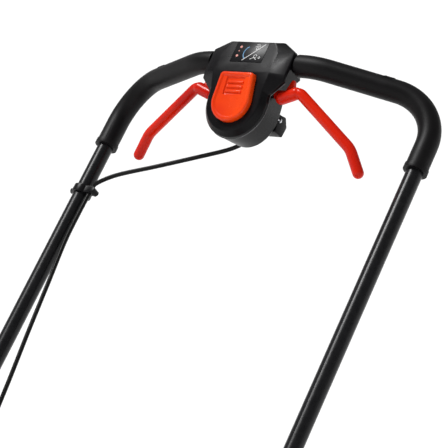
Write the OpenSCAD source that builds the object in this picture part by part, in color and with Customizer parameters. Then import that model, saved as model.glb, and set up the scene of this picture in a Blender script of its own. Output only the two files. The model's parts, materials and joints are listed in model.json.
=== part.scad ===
// Corded push lawn mower with a folding tube handle, two bail levers and a
// grass box. Millimetres, +Z up, the front of the mower towards -Y.

/* [Handle] */
// Angle of the handle above the ground
handle_angle = 50; // [47:1:54]
// Length of the handle from the deck pivot to the corner
handle_len = 980; // [800:5:1100]
// Length of the lower tubes from the deck pivot to the fold bolt
lower_len = 400; // [330:5:440]
// Distance between the centre lines of the upper tubes
handle_w = 508; // [500:1:620]
// Outer diameter of the tubes
tube_d = 22; // [18:0.5:26.5]
// Wall of the tubes
tube_wall = 1.5; // [1:0.1:2.5]
// Bend radius at the two corners
corner_r = 62; // [45:1:70]
// How far the middle of the bar bows forward of the corners
bar_bow = 70; // [50:1:90]
// Half width of the straight middle of the bar, to the bend points
bar_bend_x = 92; // [90:1:110]
// Bend radius beside the control box
bar_bend_r = 100; // [80:1:105]
// Outer diameter of the soft grips
grip_d = 30; // [28:0.5:34]
// Length of the soft grips down each leg, from the corner
grip_leg = 95; // [80:1:140]
// Diameter of the fold and pivot bolts
bolt_d = 8; // [6:0.5:10]

/* [Control box] */
// Tilt of the control box forward of the handle's own angle
box_tilt = 15; // [10:1:20]
// Radius of the round lower end of the box
box_r = 48; // [46:0.5:56]
// Distance from the bar to the centre of that round end
box_reach = 62; // [60:1:72]
// Half width over the two collars on the bar
collar_x = 66; // [62:0.5:70]
// Height of the face above the bar's centre line
face_h = 28; // [26:0.5:34]
// Depth of the box behind the bar's centre line
back_h = 27; // [24:0.5:32]
// Slope of the display panel against the face
panel_slope = 25; // [15:1:30]
// Wall of the moulded shells
box_wall = 2.5; // [2:0.1:3.5]
// Radius of the round end of the safety button
button_r = 30; // [24:0.5:32]
// Travel of the safety button
button_travel = 5; // [3:0.5:6]
// Diameter of the bail levers' arms
lever_d = 13.5; // [11:0.5:15]
// Diameter of the pin that the levers turn on
pin_d = 6; // [5:0.5:7]

/* [Deck] */
// Half width of the deck
deck_x = 190; // [180:1:200]
// Top of the deck above the ground
deck_top = 140; // [130:1:150]
// Lower rim of the deck above the ground
deck_rim = 42; // [35:1:48]
// Wall of the deck
deck_wall = 4; // [3:0.5:6]
// Radius of the circle that the blade cuts
blade_r = 178; // [140:1:180]
// Height of the blade above the ground
blade_z = 58; // [54:1:62]
// Half width of the motor hood
hood_x = 140; // [120:1:150]
// Top of the motor hood above the ground
hood_top = 322; // [300:1:340]
// Diameter of the axle rods
axle_d = 10; // [8:0.5:12]
// Crank throw that raises and lowers the deck
crank = 30; // [24:1:32]

/* [Wheels] */
// Diameter of the front wheels
front_wheel_d = 150; // [140:1:170]
// Diameter of the rear wheels
rear_wheel_d = 190; // [180:1:200]
// Width of the tyres
wheel_w = 40; // [34:1:46]

/* [Grass box] */
// Half width of the grass box
bag_x = 160; // [145:1:165]
// Length of the grass box
bag_len = 380; // [330:5:420]
// Top of the grass box above the ground
bag_top = 228; // [226:1:228]

/* [Cable] */
// Diameter of the control cable
cable_d = 6; // [5:0.5:6]

/* [Hidden] */
$fn = 64;

run = 0.05;      // radial clearance of a running fit
snug = 0.15;     // radial clearance between parts of one body
full = 0.05;     // how much fuller a bend is than the straights beside it
lap = 0.5;       // how far a straight laps into a bend
gap = 0.5;       // clearance between parts that pass each other
black = [0.09, 0.09, 0.1];
rubber = [0.06, 0.06, 0.065];
red = [0.86, 0.1, 0.02];
steel = [0.7, 0.71, 0.73];
grey = [0.3, 0.31, 0.33];

tube_r = tube_d / 2;
grip_r = grip_d / 2;
bolt_r = bolt_d / 2;
pin_r = pin_d / 2;
axle_r = axle_d / 2;
cable_r = cable_d / 2;
leg_x = handle_w / 2;
spacer = 4;                                  // washer between tubes, and beside the ears
lower_x = leg_x - tube_d - spacer;
ear_t = 8;                                   // the deck's ears that carry the lower tubes
ear_x = lower_x - tube_r - spacer - ear_t;
upper_len = handle_len - lower_len;
tube_tail = 15;                              // tube beyond each bolt

// Wheels, axles and the crank that joins them
wheel_x0 = ear_x + ear_t + 5;                // inner face of the wheels
front_y = -285;
rear_y = 190;
crank_rest = 40;                             // angle of the crank above level at rest
crank_y = crank * cos(crank_rest);
crank_z = crank * sin(crank_rest);
front_pivot = [front_y - crank_y, front_wheel_d / 2 - crank_z];
rear_pivot = [rear_y - crank_y, rear_wheel_d / 2 - crank_z];
tie_arm = 40;                                // arm that the tie rod pulls
tie_rest = 130;                              // its angle at rest
tie_offset = tie_arm * [cos(tie_rest), sin(tie_rest)];
tie_pin_r = 4;
arm_t = 3.5;                                 // thickness of the axle arms
crank_x = wheel_x0 - 8;                      // where the axle rods are cranked

// Deck
blade_y = -60;
chamber_r = blade_r + 8;
ceiling = deck_top - 6;
deck_front = -338;
deck_back = 245;
tower_x = 115;
tower_y = 122;
tower_top = 228;
pivot_y = 255;
pivot_z = 265;
flap_hinge = [253, 240];
flap_pin_r = 3;
bag_front = deck_back + 12;

// Handle
corner_y = pivot_y + handle_len * cos(handle_angle);
corner_z = pivot_z + handle_len * sin(handle_angle);
bow_y = -bar_bow * sin(handle_angle);
bow_z = bar_bow * cos(handle_angle);
bar_rise = norm([leg_x - bar_bend_x, bar_bow]);
lean = bar_bow / bar_rise * sin(handle_angle);
corner_reach = corner_r * (cos(handle_angle) + lean)
    - corner_r * norm([cos(handle_angle), lean]);
y_max = corner_y + grip_r - corner_reach;
y_min = front_y - front_wheel_d / 2;
y_shift = -(y_max + y_min) / 2;

// Control box, in its own frame: origin on the bar's centre line, Z out of the face
box_angle = handle_angle + box_tilt;
crease_y = -20;
shell_h = 13;                                // depth of the cover below the face
panel_len = 55;
slope_y = cos(panel_slope);
slope_z = sin(panel_slope);
top_y = crease_y + panel_len * slope_y;
top_z = face_h - panel_len * slope_z;
part_y = top_y - shell_h * slope_z;
part_z = top_z - shell_h * slope_y;
part_h = face_h - shell_h;
box_end = -(box_reach + box_r);
pin_y = -41;
pin_z = 2.4;
barrel_r = 10;
boss_r = 6;
barrel_x0 = box_r + 3;
button_top = -24;
button_side = button_r - 3;

// The control cable: hand-laid points in the handle's frame and from the deck pivot
upper_route = [[-22, -12, -76], [-22, -4, -74], [-30, 5, -78], [-52, 9, -91], [-92, 7, -110],
    [-150, 1, -138], [-204, -3, -160], [-230, -4.5, -177], [-236, -4.5, -186],
    [-236, -4.5, -198], [-236, -5, -225], [-235, -5, -260], [-228, -5, -320],
    [-220, -4, -400], [-212, -3, -470],
    [-206, -2, -530], [-200, -1, -562], [-188, 0, -578], [-176, 0, -580]];
lower_route = [[-174, 0, 0], [-164, 0, 0], [-152, 0, -10], [-149, 0, -28],
    [-160, 0, -70], [-180, 0, -130], [-194, 0, -200], [-198, 0, -280],
    [-196, 0, -350], [-190, 0, -385], [-180, 0, -399], [-168, 0, -400]];
deck_route = [[-166, 0, 0], [-156, 0, 0], [-142, -8, 2], [-130, -35, 4],
    [-122, -70, 0], [-114, -98, -7], [-110, -118, -10], [-110, -128, -10]];

// ---------- helpers ----------
function unit(v) = v / norm(v);
function turn(a, b, c) = acos(min(1, unit(b - a) * unit(c - b)));
function cut(a, b, c, r) = r * tan(turn(a, b, c) / 2);
function across(z) = abs(z.x) < 0.9 ? unit(cross([1, 0, 0], z)) : unit(cross([0, 1, 0], z));
function columns(x, y, z, o) = [[x.x, y.x, z.x, o.x], [x.y, y.y, z.y, o.y],
    [x.z, y.z, z.z, o.z], [0, 0, 0, 1]];

module ring(ro, ri) {
    difference() {
        circle(ro);
        if (ri > 0) circle(ri);
    }
}

// A straight stretch of tube or rod from a to b
module straight(a, b, ro, ri = 0) {
    z = unit(b - a);
    x = across(z);
    multmatrix(columns(x, cross(z, x), z, a)) linear_extrude(norm(b - a)) ring(ro, ri);
}

// The bend at b, tangent to a-b and b-c, a hair fuller than the straights that lap into it
module bend(a, b, c, r, ro, ri = 0) {
    u = unit(b - a);
    v = unit(c - b);
    w = unit(v - (v * u) * u);
    centre = b - u * cut(a, b, c, r) + w * r;
    multmatrix(columns(-w, u, cross(-w, u), centre))
        rotate_extrude(angle = turn(a, b, c)) translate([r, 0]) ring(ro + full, ri > 0 ? ri - full : 0);
}

// A bent tube or rod through pts, with one bend radius for each inner point
module bent(pts, bends, ro, ri = 0) {
    last = len(pts) - 1;
    trims = [for (i = [0:last]) (i == 0 || i == last) ? 0
        : cut(pts[i - 1], pts[i], pts[i + 1], bends[i - 1])];
    for (i = [0:last - 1]) {
        d = unit(pts[i + 1] - pts[i]);
        straight(pts[i] + d * (trims[i] - (i == 0 ? 0 : lap)),
            pts[i + 1] - d * (trims[i + 1] - (i == last - 1 ? 0 : lap)), ro, ri);
    }
    for (i = [1:last - 1]) bend(pts[i - 1], pts[i], pts[i + 1], bends[i - 1], ro, ri);
}

// A smooth cable through hand-laid points, as one closed skin
function knot(p, i) = p[max(0, min(len(p) - 1, i))];
function spline(p, i, t) = 0.5 * (2 * knot(p, i) + (knot(p, i + 1) - knot(p, i - 1)) * t
    + (2 * knot(p, i - 1) - 5 * knot(p, i) + 4 * knot(p, i + 1) - knot(p, i + 2)) * t * t
    + (3 * knot(p, i) - knot(p, i - 1) - 3 * knot(p, i + 1) + knot(p, i + 2)) * t * t * t);
function laid(p, steps) = concat(
    [for (i = [0:len(p) - 2], k = [0:steps - 1]) spline(p, i, k / steps)], [p[len(p) - 1]]);

module skin(path, r, flat, sides = 8) {
    n = len(path);
    rings = [for (i = [0:n - 1])
        let (t = unit(path[min(n - 1, i + 1)] - path[max(0, i - 1)]),
             x = unit(cross(flat, t)), y = cross(t, x))
        for (k = [0:sides - 1]) path[i] + r * (x * cos(360 * k / sides) + y * sin(360 * k / sides))];
    walls = [for (i = [0:n - 2], k = [0:sides - 1])
        let (a = i * sides + k, b = i * sides + (k + 1) % sides)
        each [[a, a + sides, b], [b, a + sides, b + sides]]];
    caps = [[for (k = [0:sides - 1]) k], [for (k = [sides - 1:-1:0]) (n - 1) * sides + k]];
    polyhedron(rings, concat(walls, caps), convexity = 6);
}

module row() { translate([0, y_shift, 0]) children(); }
module at_corner() { row() translate([0, corner_y, corner_z]) children(); }
module handle_frame() { at_corner() rotate([handle_angle - 90, 0, 0]) children(); }
module fold_frame() { handle_frame() translate([0, 0, -upper_len]) children(); }
module box_frame() { at_corner() translate([0, bow_y, bow_z]) rotate([box_angle, 0, 0]) children(); }
module panel_frame() { box_frame() translate([0, crease_y, face_h]) rotate([-panel_slope, 0, 0]) children(); }
module both() { children(); mirror([1, 0, 0]) children(); }
module side(s) { if (s > 0) children(); else mirror([1, 0, 0]) children(); }
// A cylinder along X from x0 to x1
module xrod(x0, x1, r) { translate([x0, 0, 0]) rotate([0, 90, 0]) cylinder(r = r, h = x1 - x0); }
// A profile in Y and Z drawn out along X, from x0 to x1
module profile(x0, x1) { translate([x0, 0, 0]) rotate([90, 0, 90]) linear_extrude(x1 - x0) children(); }
module block(lo, hi) { translate(lo) cube(hi - lo); }

// ---------- handle ----------
bar_points = [[leg_x, 0, -upper_len - tube_tail], [leg_x, 0, 0], [bar_bend_x, -bar_bow, 0],
    [-bar_bend_x, -bar_bow, 0], [-leg_x, 0, 0], [-leg_x, 0, -upper_len - tube_tail]];

module upper_tube() {
    color(black) handle_frame() difference() {
        bent(bar_points, [corner_r, bar_bend_r, bar_bend_r, corner_r], tube_r, tube_r - tube_wall);
        both() translate([0, 0, -upper_len]) xrod(leg_x - tube_d, leg_x + tube_d, bolt_r + run);
    }
}

module grip(s) {
    end = [leg_x, 0, -grip_leg];
    color(rubber) handle_frame() side(s) {
        bent([[collar_x + 3, -bar_bow, 0], [bar_bend_x, -bar_bow, 0], [leg_x, 0, 0], end],
            [bar_bend_r, corner_r], grip_r, tube_r + snug);
        translate(end) rotate([180, 0, 0]) linear_extrude(7) ring(grip_r + 1, tube_r + snug);
    }
}

module lower_tube(s) {
    color(black) fold_frame() side(s) difference() {
        translate([lower_x, 0, -lower_len - tube_tail])
            linear_extrude(lower_len + 2 * tube_tail) ring(tube_r, tube_r - tube_wall);
        for (z = [0, -lower_len]) translate([0, 0, z]) xrod(lower_x - tube_d, lower_x + tube_d, bolt_r + run);
    }
}

cam_x = leg_x + tube_r + 12;                 // where the cam levers hinge
cam_r = 9;
cam_pin_r = 3;
module fold_bolts() {
    color(steel) fold_frame() both() {
        xrod(lower_x - tube_r - 5, cam_x + cam_pin_r, bolt_r);
        xrod(lower_x - tube_r - 5, lower_x - tube_r - gap, 8);
        xrod(lower_x + tube_r + gap, leg_x - tube_r - gap, 10);
        translate([cam_x, 12, 0]) rotate([90, 0, 0]) cylinder(r = cam_pin_r, h = 24);
    }
}

module cam(s) {
    color(red) fold_frame() side(s) translate([cam_x, 0, 0]) difference() {
        union() {
            for (y = [-12, bolt_r + gap]) translate([0, y, 0]) rotate([-90, 0, 0])
                linear_extrude(12 - bolt_r - gap) hull() {
                    circle(cam_r);
                    translate([0, -14]) circle(5);
                }
            block([-5, -12, 9], [5, 12, 20]);
            translate([0, 0, 14]) linear_extrude(52) offset(3) square([5, 16], center = true);
        }
        translate([0, 13, 0]) rotate([90, 0, 0]) cylinder(r = cam_pin_r + run, h = 26);
    }
}

module knob(s) {
    x0 = lower_x + tube_r + gap;
    color(black) row() translate([0, pivot_y, pivot_z]) side(s) {
        xrod(ear_x - 6, x0 + 6, bolt_r);
        xrod(ear_x - 6, ear_x - 1, 8);
        translate([x0, 0, 0]) rotate([0, 90, 0]) linear_extrude(16) {
            circle(15);
            for (a = [0:60:300]) rotate(a) translate([14, 0]) circle(6);
        }
    }
}

// ---------- control box ----------
// Outline of the shells; d is a wall taken off, flank is where the collars begin
module box_outline(d, flank, wide) {
    translate([0, -box_reach]) circle(box_r - d);
    polygon([[-box_r + d, -box_reach], [box_r - d, -box_reach], [box_r - d, flank],
        [wide - d, flank + wide - box_r], [wide - d, top_y], [-wide + d, top_y],
        [-wide + d, flank + wide - box_r], [-box_r + d, flank]]);
}
module cover_profile() {
    polygon([[box_end, part_h], [crease_y, part_h], [part_y, part_z],
        [top_y, top_z], [crease_y, face_h], [box_end, face_h]]);
}
module base_profile() {
    polygon([[box_end, part_h], [crease_y, part_h], [part_y, part_z],
        [part_y - 6, -20], [6, -back_h], [box_end, -back_h]]);
}
module button_outline(d) {
    translate([0, -box_reach]) circle(button_r + d);
    polygon([[-button_r - d, -box_reach], [button_r + d, -box_reach],
        [button_side + d, button_top + d], [-button_side - d, button_top + d]]);
}
screw_spots = [[-box_r + 9, -box_reach - 4], [box_r - 9, -box_reach - 4], [0, box_end + 9]];

module bar_bore() {
    xrod(-collar_x - 1, collar_x + 1, tube_r + snug);
    xrod(-box_r + box_wall, box_r - box_wall, tube_r + 2);
}

module switch_cover() {
    color(black) difference() {
        box_frame() difference() {
            intersection() {
                translate([0, 0, part_z - 1]) linear_extrude(face_h - part_z + 2)
                    box_outline(0, -box_r, collar_x);
                profile(-collar_x, collar_x) cover_profile();
            }
            intersection() {
                translate([0, 0, part_z - 2]) linear_extrude(face_h - part_z + 2)
                    box_outline(box_wall, -box_r, box_r);
                profile(-collar_x, collar_x) polygon([[box_end, part_h - 1], [crease_y, part_h - 1],
                    [part_y - box_wall, part_z - 1], [part_y - box_wall, part_z + 4],
                    [crease_y, face_h - box_wall], [box_end, face_h - box_wall]]);
            }
            translate([0, 0, face_h - 6]) linear_extrude(12) button_outline(gap);
            bar_bore();
        }
        panel_frame() block([-26, 17, -1.2], [26, 50, 1]);
    }
}

module info_panel() {
    color([0.03, 0.03, 0.04]) panel_frame() block([-25.8, 17.2, -1.2], [25.8, 49.8, 0.2]);
}

module switch_base() {
    color(black) box_frame() difference() {
        union() {
            difference() {
                intersection() {
                    translate([0, 0, -back_h]) linear_extrude(part_h + back_h)
                        box_outline(0, -28, collar_x);
                    profile(-collar_x, collar_x) base_profile();
                }
                intersection() {
                    translate([0, 0, -back_h + box_wall]) linear_extrude(part_h + back_h)
                        box_outline(box_wall, -28, box_r);
                    profile(-box_r, box_r) polygon([[box_end, part_h + 1], [crease_y, part_h + 1],
                        [part_y - box_wall, part_z + 1], [part_y - 6 - box_wall, -18],
                        [4, -back_h + box_wall], [box_end, -back_h + box_wall]]);
                }
            }
            both() block([14, pin_y - 6, -back_h + 1], [20, pin_y + 6, pin_z + 5]);
            for (p = screw_spots) translate([p.x, p.y, -back_h + 1]) cylinder(r = 4.5, h = back_h + 9);
            translate([0, -box_reach, -back_h + 1]) cylinder(r = 10, h = 12);
        }
        bar_bore();
        block([-collar_x - 1, -tube_r - snug, 0], [collar_x + 1, tube_r + snug, part_h + 1]);
        translate([0, pin_y, pin_z]) {
            xrod(-22, 22, pin_r + run);
            both() xrod(box_r - 6, box_r + 20, boss_r + gap);
        }
        both() block([box_r - 6, pin_y - boss_r - gap, pin_z],
            [box_r + 20, pin_y + boss_r + gap, part_h + 1]);
        for (p = screw_spots) translate([p.x, p.y, -back_h - 1]) cylinder(r = 1.6, h = 60);
        translate([-22, -88, -back_h - 1]) cylinder(r = 5 + snug, h = box_wall + 2);
    }
}

screw_head_r = 3.2;
module cover_screws() {
    color(steel) box_frame() for (p = screw_spots) translate([p.x, p.y, -back_h - 2.2]) {
        cylinder(r = screw_head_r, h = 2.2);
        cylinder(r = 1.5, h = 34);
    }
}

module lever_shaft() {
    color(steel) box_frame() translate([0, pin_y, pin_z]) xrod(-74, 74, pin_r);
}

module microswitches() {
    color(grey) box_frame() both() {
        block([28, pin_y - 13, -back_h + box_wall], [39, pin_y + 5, nose_z - 3]);
        block([31, pin_y - 6, nose_z - 3], [36, pin_y - 1, nose_z]);
    }
}

// The mains inlet at the back of the box: an angled shroud with three pins inside
inlet_x = 28;
inlet_w = 26;
inlet_y = -66;
module mains_inlet() {
    color(black) box_frame() difference() {
        profile(inlet_x - inlet_w / 2, inlet_x + inlet_w / 2) polygon([[inlet_y, -back_h], [inlet_y, -45],
            [inlet_y - 14, -52], [inlet_y - 27, -46], [inlet_y - 22, -back_h]]);
        translate([inlet_x, inlet_y - 16, -38]) rotate([112, 0, 0]) linear_extrude(30)
            square([20, 11], center = true);
        for (p = screw_spots) translate([p.x, p.y, -back_h - 40]) cylinder(r = screw_head_r + gap, h = 41);
    }
    color(steel) box_frame() for (x = [-6, 0, 6]) translate([inlet_x + x, inlet_y - 14, -39])
        rotate([112, 0, 0]) cylinder(r = 1.4, h = 8);
}

module cable_gland() {
    color(black) box_frame() translate([-22, -88, -back_h]) {
        translate([0, 0, -9]) linear_extrude(9) ring(7, cable_r + snug);
        linear_extrude(box_wall) ring(5, cable_r + snug);
    }
}

// The clip's lobe holds the cable where its route runs along the left tube
module cable_clip() {
    held = upper_route[8];
    hole = [held.x + leg_x, held.y];
    color(black) handle_frame() translate([-leg_x, 0, held.z - 6]) {
        linear_extrude(11, center = true) difference() {
            union() {
                circle(tube_r + 3);
                translate([tube_r + 1, hole.y - 4.5]) square([hole.x + 5 - tube_r, 9]);
            }
            circle(tube_r + snug);
            translate(hole) circle(cable_r + 1);
        }
        translate([-tube_r - 2, 0, 0]) rotate([0, -90, 0]) cylinder(r = 3.5, h = 5);
    }
}

// Lowest point that the nose of a pulled lever reaches, just above its switch
nose_reach = 9;
nose_r = 3;
nose_z = pin_z - nose_reach - nose_r - gap;

lever_points = [[barrel_x0 + 4, 0, 0], [84, -1, 4], [165, -4, -63], [180, -8, -92]];
module lever(s) {
    color(red) at_corner() side(s) difference() {
        translate([0, bow_y, bow_z]) rotate([box_angle, 0, 0]) translate([0, pin_y, pin_z]) {
            rotate([-box_angle, 0, 0]) {
                bent(lever_points, [9, 34], lever_d / 2);
                translate(lever_points[3]) sphere(lever_d / 2 + full);
            }
            xrod(barrel_x0, barrel_x0 + 24, barrel_r);
            xrod(30, barrel_x0 + 1, boss_r);
            translate([31, 0, 0]) rotate([90, 0, 90]) linear_extrude(6) hull() {
                circle(boss_r + 1);
                translate([-nose_reach, 0]) circle(nose_r);
            }
        }
        translate([0, bow_y, bow_z]) rotate([box_angle, 0, 0]) translate([0, pin_y, pin_z])
            xrod(28, 75, pin_r + run);
    }
}

module safety_button() {
    color(red) box_frame() {
        translate([0, 0, part_h + 6]) linear_extrude(4) button_outline(2);
        translate([0, 0, part_h + 9]) linear_extrude(face_h - part_h - 2) button_outline(0);
        translate([0, -box_reach, part_h + 9]) cylinder(r = 22, h = 14);
    }
}

spring_r = 7;
spring_wire = 0.7;
spring_turns = 6;
spring_foot = -back_h + 13;
module button_spring() {
    height = part_h + 6 - spring_foot - 2 * spring_wire;
    steps = 10 * spring_turns;
    coil = [for (i = [0:steps]) let (a = 360 * spring_turns * i / steps)
        [spring_r * cos(a), spring_r * sin(a), height * i / steps]];
    color(steel) box_frame() translate([0, -box_reach, spring_foot + spring_wire])
        skin(coil, spring_wire, [0, 0, 1], 6);
}

module cable_upper() {
    color(rubber) handle_frame() skin(laid(upper_route, 3), cable_r, [0, 1, 0]);
}
module cable_lower() {
    color(rubber) fold_frame() skin(laid(lower_route, 2), cable_r, [0, 1, 0]);
}
module cable_deck() {
    color(rubber) row() translate([0, pivot_y, pivot_z])
        skin(laid(deck_route, 2), cable_r, [0, 0, 1]);
}

// ---------- deck and motor ----------
module deck_outline(d) {
    offset(-d) hull() {
        translate([-deck_x, -100]) square([2 * deck_x, deck_back + 100]);
        both() translate([deck_x - 90, deck_front + 90]) circle(90);
    }
}
module axle_ribs() {
    for (p = [front_pivot, rear_pivot]) translate([-deck_x, p.x - 12]) square([2 * deck_x, 24]);
}
tunnel_x = 100;
tunnel = [[blade_y, 74], [tower_y, 98], [deck_back + 1, 112], [deck_back + 1, tower_top - 8],
    [tower_y + 30, tower_top - 8], [tower_y - 20, ceiling], [blade_y, ceiling]];

module deck_shell() {
    color(red) row() difference() {
        union() {
            translate([0, 0, deck_rim]) linear_extrude(deck_top - deck_rim) deck_outline(0);
            profile(-tower_x, tower_x) polygon([[tower_y - 40, deck_top - 5], [tower_y, tower_top],
                [deck_back, tower_top], [deck_back, deck_top - 5]]);
            both() {
                block([deck_x - 20, 226, 92], [ear_x + ear_t, 276, 150]);
                profile(ear_x, ear_x + ear_t) hull() {
                    translate([pivot_y, pivot_z]) circle(18);
                    translate([226, 140]) square([50, 10]);
                }
                profile(tower_x - 9, tower_x - 1) hull() {
                    translate(flap_hinge) circle(7);
                    translate([deck_back - 12, tower_top - 5]) square([8, 5]);
                }
            }
        }
        translate([0, blade_y, deck_rim - 1]) cylinder(r = chamber_r, h = ceiling - deck_rim + 1, $fn = 96);
        translate([0, 0, deck_rim - 1]) linear_extrude(ceiling - deck_rim + 1) difference() {
            deck_outline(deck_wall);
            translate([0, blade_y]) circle(chamber_r + deck_wall);
            axle_ribs();
            translate([-tunnel_x - 6, tower_y - 60]) square([2 * tunnel_x + 12, 300]);
        }
        block([-tunnel_x, rear_pivot.x + 14, deck_rim - 1], [tunnel_x, deck_back - 8, 88]);
        profile(-tunnel_x, tunnel_x) polygon([[138, deck_rim - 1], [rear_pivot.x - 14, deck_rim - 1],
            [rear_pivot.x - 14, 94], [138, 90]]);
        profile(-tunnel_x, tunnel_x) polygon(tunnel);
        for (p = [front_pivot, rear_pivot]) translate([0, p.x, p.y]) {
            xrod(-deck_x - 1, deck_x + 1, axle_r + run);
            block([-deck_x - 1, -axle_r - run, -60], [deck_x + 1, axle_r + run, 0]);
        }
        translate([0, blade_y, 0]) cylinder(r = 17, h = deck_top + 1);
        for (p = lug_spots) translate([p.x, p.y, ceiling - 1]) cylinder(r = lug_hole, h = 10);
        both() translate([0, pivot_y, pivot_z]) xrod(ear_x - 1, ear_x + ear_t + 1, bolt_r + run);
        both() translate([0, flap_hinge.x, flap_hinge.y]) xrod(tower_x - 10, tower_x, flap_pin_r + run);
    }
}

module axle_clamps() {
    color(black) row() for (p = [front_pivot, rear_pivot]) both() difference() {
        block([deck_x - 40, p.x - axle_r + snug, deck_rim], [deck_x - 10, p.x + axle_r - snug, p.y]);
        translate([0, p.x, p.y]) xrod(deck_x - 41, deck_x - 9, axle_r + run);
    }
}

quadrant_r = 100;                            // inner radius of the notched arc beside the lever
quadrant_w = 14;
module height_quadrant() {
    foot = deck_top - rear_pivot.y;
    color(black) row() translate([-deck_x + 1, rear_pivot.x, rear_pivot.y]) rotate([90, 0, 90]) difference() {
        union() {
            rotate_extrude(angle = 88, start = 60) translate([quadrant_r, 0]) square([quadrant_w, 5]);
            for (a = [62, 100]) linear_extrude(5) intersection() {
                translate([(quadrant_r + quadrant_w / 2) * cos(a) - 5, foot]) square([10, quadrant_r]);
                circle(quadrant_r + 2);
            }
        }
        translate([-2 * quadrant_r, foot - quadrant_r, -1]) cube([4 * quadrant_r, quadrant_r, 7]);
        for (a = [66:12:138]) rotate(a) translate([quadrant_r + quadrant_w, 0, -1]) cylinder(r = 3, h = 7);
    }
}

hood_wall = 3;
hood_front = -230;
hood_back = tower_y - 46;
hood_corner = 40;
hood_dome = 60;
module hood_shape(d) {
    hull() {
        for (sx = [-1, 1]) {
            translate([sx * (hood_x - hood_corner), hood_front + hood_corner, deck_top])
                cylinder(r = hood_corner - d, h = 90);
            translate([sx * (hood_x - hood_corner), hood_back - hood_corner, deck_top])
                cylinder(r = hood_corner - d, h = 90);
            translate([sx * (hood_x - 75), -110, hood_top - hood_dome]) sphere(hood_dome - d);
            translate([sx * (hood_x - 75), 20, hood_top - hood_dome - 10]) sphere(hood_dome - d);
        }
    }
}
module motor_hood() {
    // The cable goes in through a short boss at the back of the hood
    last = deck_route[len(deck_route) - 1];
    boss = [last.x, pivot_y + last.y, pivot_z + last.z];
    boss_y = hood_back - hood_corner;
    color(black) row() difference() {
        union() {
            hood_shape(0, $fn = 28);
            for (p = lug_spots) translate([p.x, p.y, deck_top]) linear_extrude(hood_wall) {
                circle(9);
                translate([p.x > 0 ? -12 : 0, -9]) square([12, 18]);
            }
            translate([boss.x, boss_y, boss.z]) rotate([-90, 0, 0]) cylinder(r = 11, h = boss.y + 6 - boss_y);
        }
        difference() {
            hood_shape(hood_wall, $fn = 28);
            block([-hood_x, -300, 0], [hood_x, 300, deck_top]);
        }
        block([-hood_x, -300, -10], [hood_x, 300, deck_top]);
        for (p = lug_spots) translate([p.x, p.y, deck_top - 1]) cylinder(r = lug_hole, h = hood_wall + 2);
        translate([boss.x, boss_y - 10, boss.z]) rotate([-90, 0, 0])
            cylinder(r = cable_r + 1, h = boss.y + 17 - boss_y);
        for (sx = [-1, 1], z = [190:12:238]) translate([sx * 60, -240, z]) cube([70, 60, 5], center = true);
    }
}

// Screws through the two lugs on each side of the hood
lug_spots = [for (sx = [-1, 1], y = [-150, 30]) [sx * (hood_x + 7), y]];
lug_hole = 2.5;
module hood_screws() {
    color(steel) row() for (p = lug_spots) translate([p.x, p.y, ceiling]) {
        cylinder(r = lug_hole - snug, h = deck_top + hood_wall - ceiling + 1);
        translate([0, 0, deck_top + hood_wall - ceiling]) cylinder(r = 5, h = 4);
    }
}

can_r = 62;
can_top = 290;
bearing_r = 16;
shaft_r = 6;
module motor_can() {
    color(grey) row() translate([0, blade_y, deck_top]) difference() {
        cylinder(r = can_r, h = can_top - deck_top);
        translate([0, 0, 12]) cylinder(r = can_r - 3, h = can_top - deck_top - 24);
        translate([0, 0, -1]) cylinder(r = bearing_r, h = can_top);
    }
}
module shaft_bearings() {
    color(steel) row() translate([0, blade_y, 0]) for (z = [deck_top + 1, can_top - 11])
        translate([0, 0, z]) linear_extrude(10) ring(bearing_r, shaft_r + run);
}
module motor_shaft() {
    color(steel) row() translate([0, blade_y, blade_z]) cylinder(r = shaft_r, h = can_top + 12 - blade_z);
}
module motor_armature() {
    color(grey) row() translate([0, blade_y, 170]) linear_extrude(90) difference() {
        ring(40, shaft_r);
        for (a = [0:30:330]) rotate(a) translate([35, -1.5]) square([6, 3]);
    }
}
module cooling_fan() {
    color(black) row() translate([0, blade_y, can_top + 2]) {
        linear_extrude(3) ring(46, shaft_r);
        linear_extrude(9) ring(12, shaft_r);
        for (a = [0:40:320]) rotate(a) translate([11, -1, 0]) cube([34, 2, 9]);
    }
}
module blade() {
    color(steel) row() translate([0, blade_y, blade_z]) difference() {
        union() {
            linear_extrude(4) intersection() {
                circle(blade_r);
                square([2 * blade_r, 46], center = true);
            }
            for (a = [0, 180]) rotate(a) translate([blade_r - 70, 19, 3]) rotate([35, 0, 0])
                cube([58, 3, 18]);
            linear_extrude(16) ring(20, shaft_r);
        }
        translate([0, 0, -1]) cylinder(r = shaft_r, h = 20);
    }
}
module blade_bolt() {
    color(steel) row() translate([0, blade_y, blade_z - 8]) {
        cylinder(r = 9, h = 5, $fn = 6);
        translate([0, 0, 5]) cylinder(r = 15, h = 3);
    }
}

// ---------- axles, wheels and height adjustment ----------
module axle(p) {
    w = [p.x + crank_y, p.y + crank_z];
    bent([[-hub_end, w.x, w.y], [-crank_x, w.x, w.y], [-crank_x, p.x, p.y], [crank_x, p.x, p.y],
        [crank_x, w.x, w.y], [hub_end, w.x, w.y]], [8, 8, 8, 8], axle_r);
}
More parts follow.
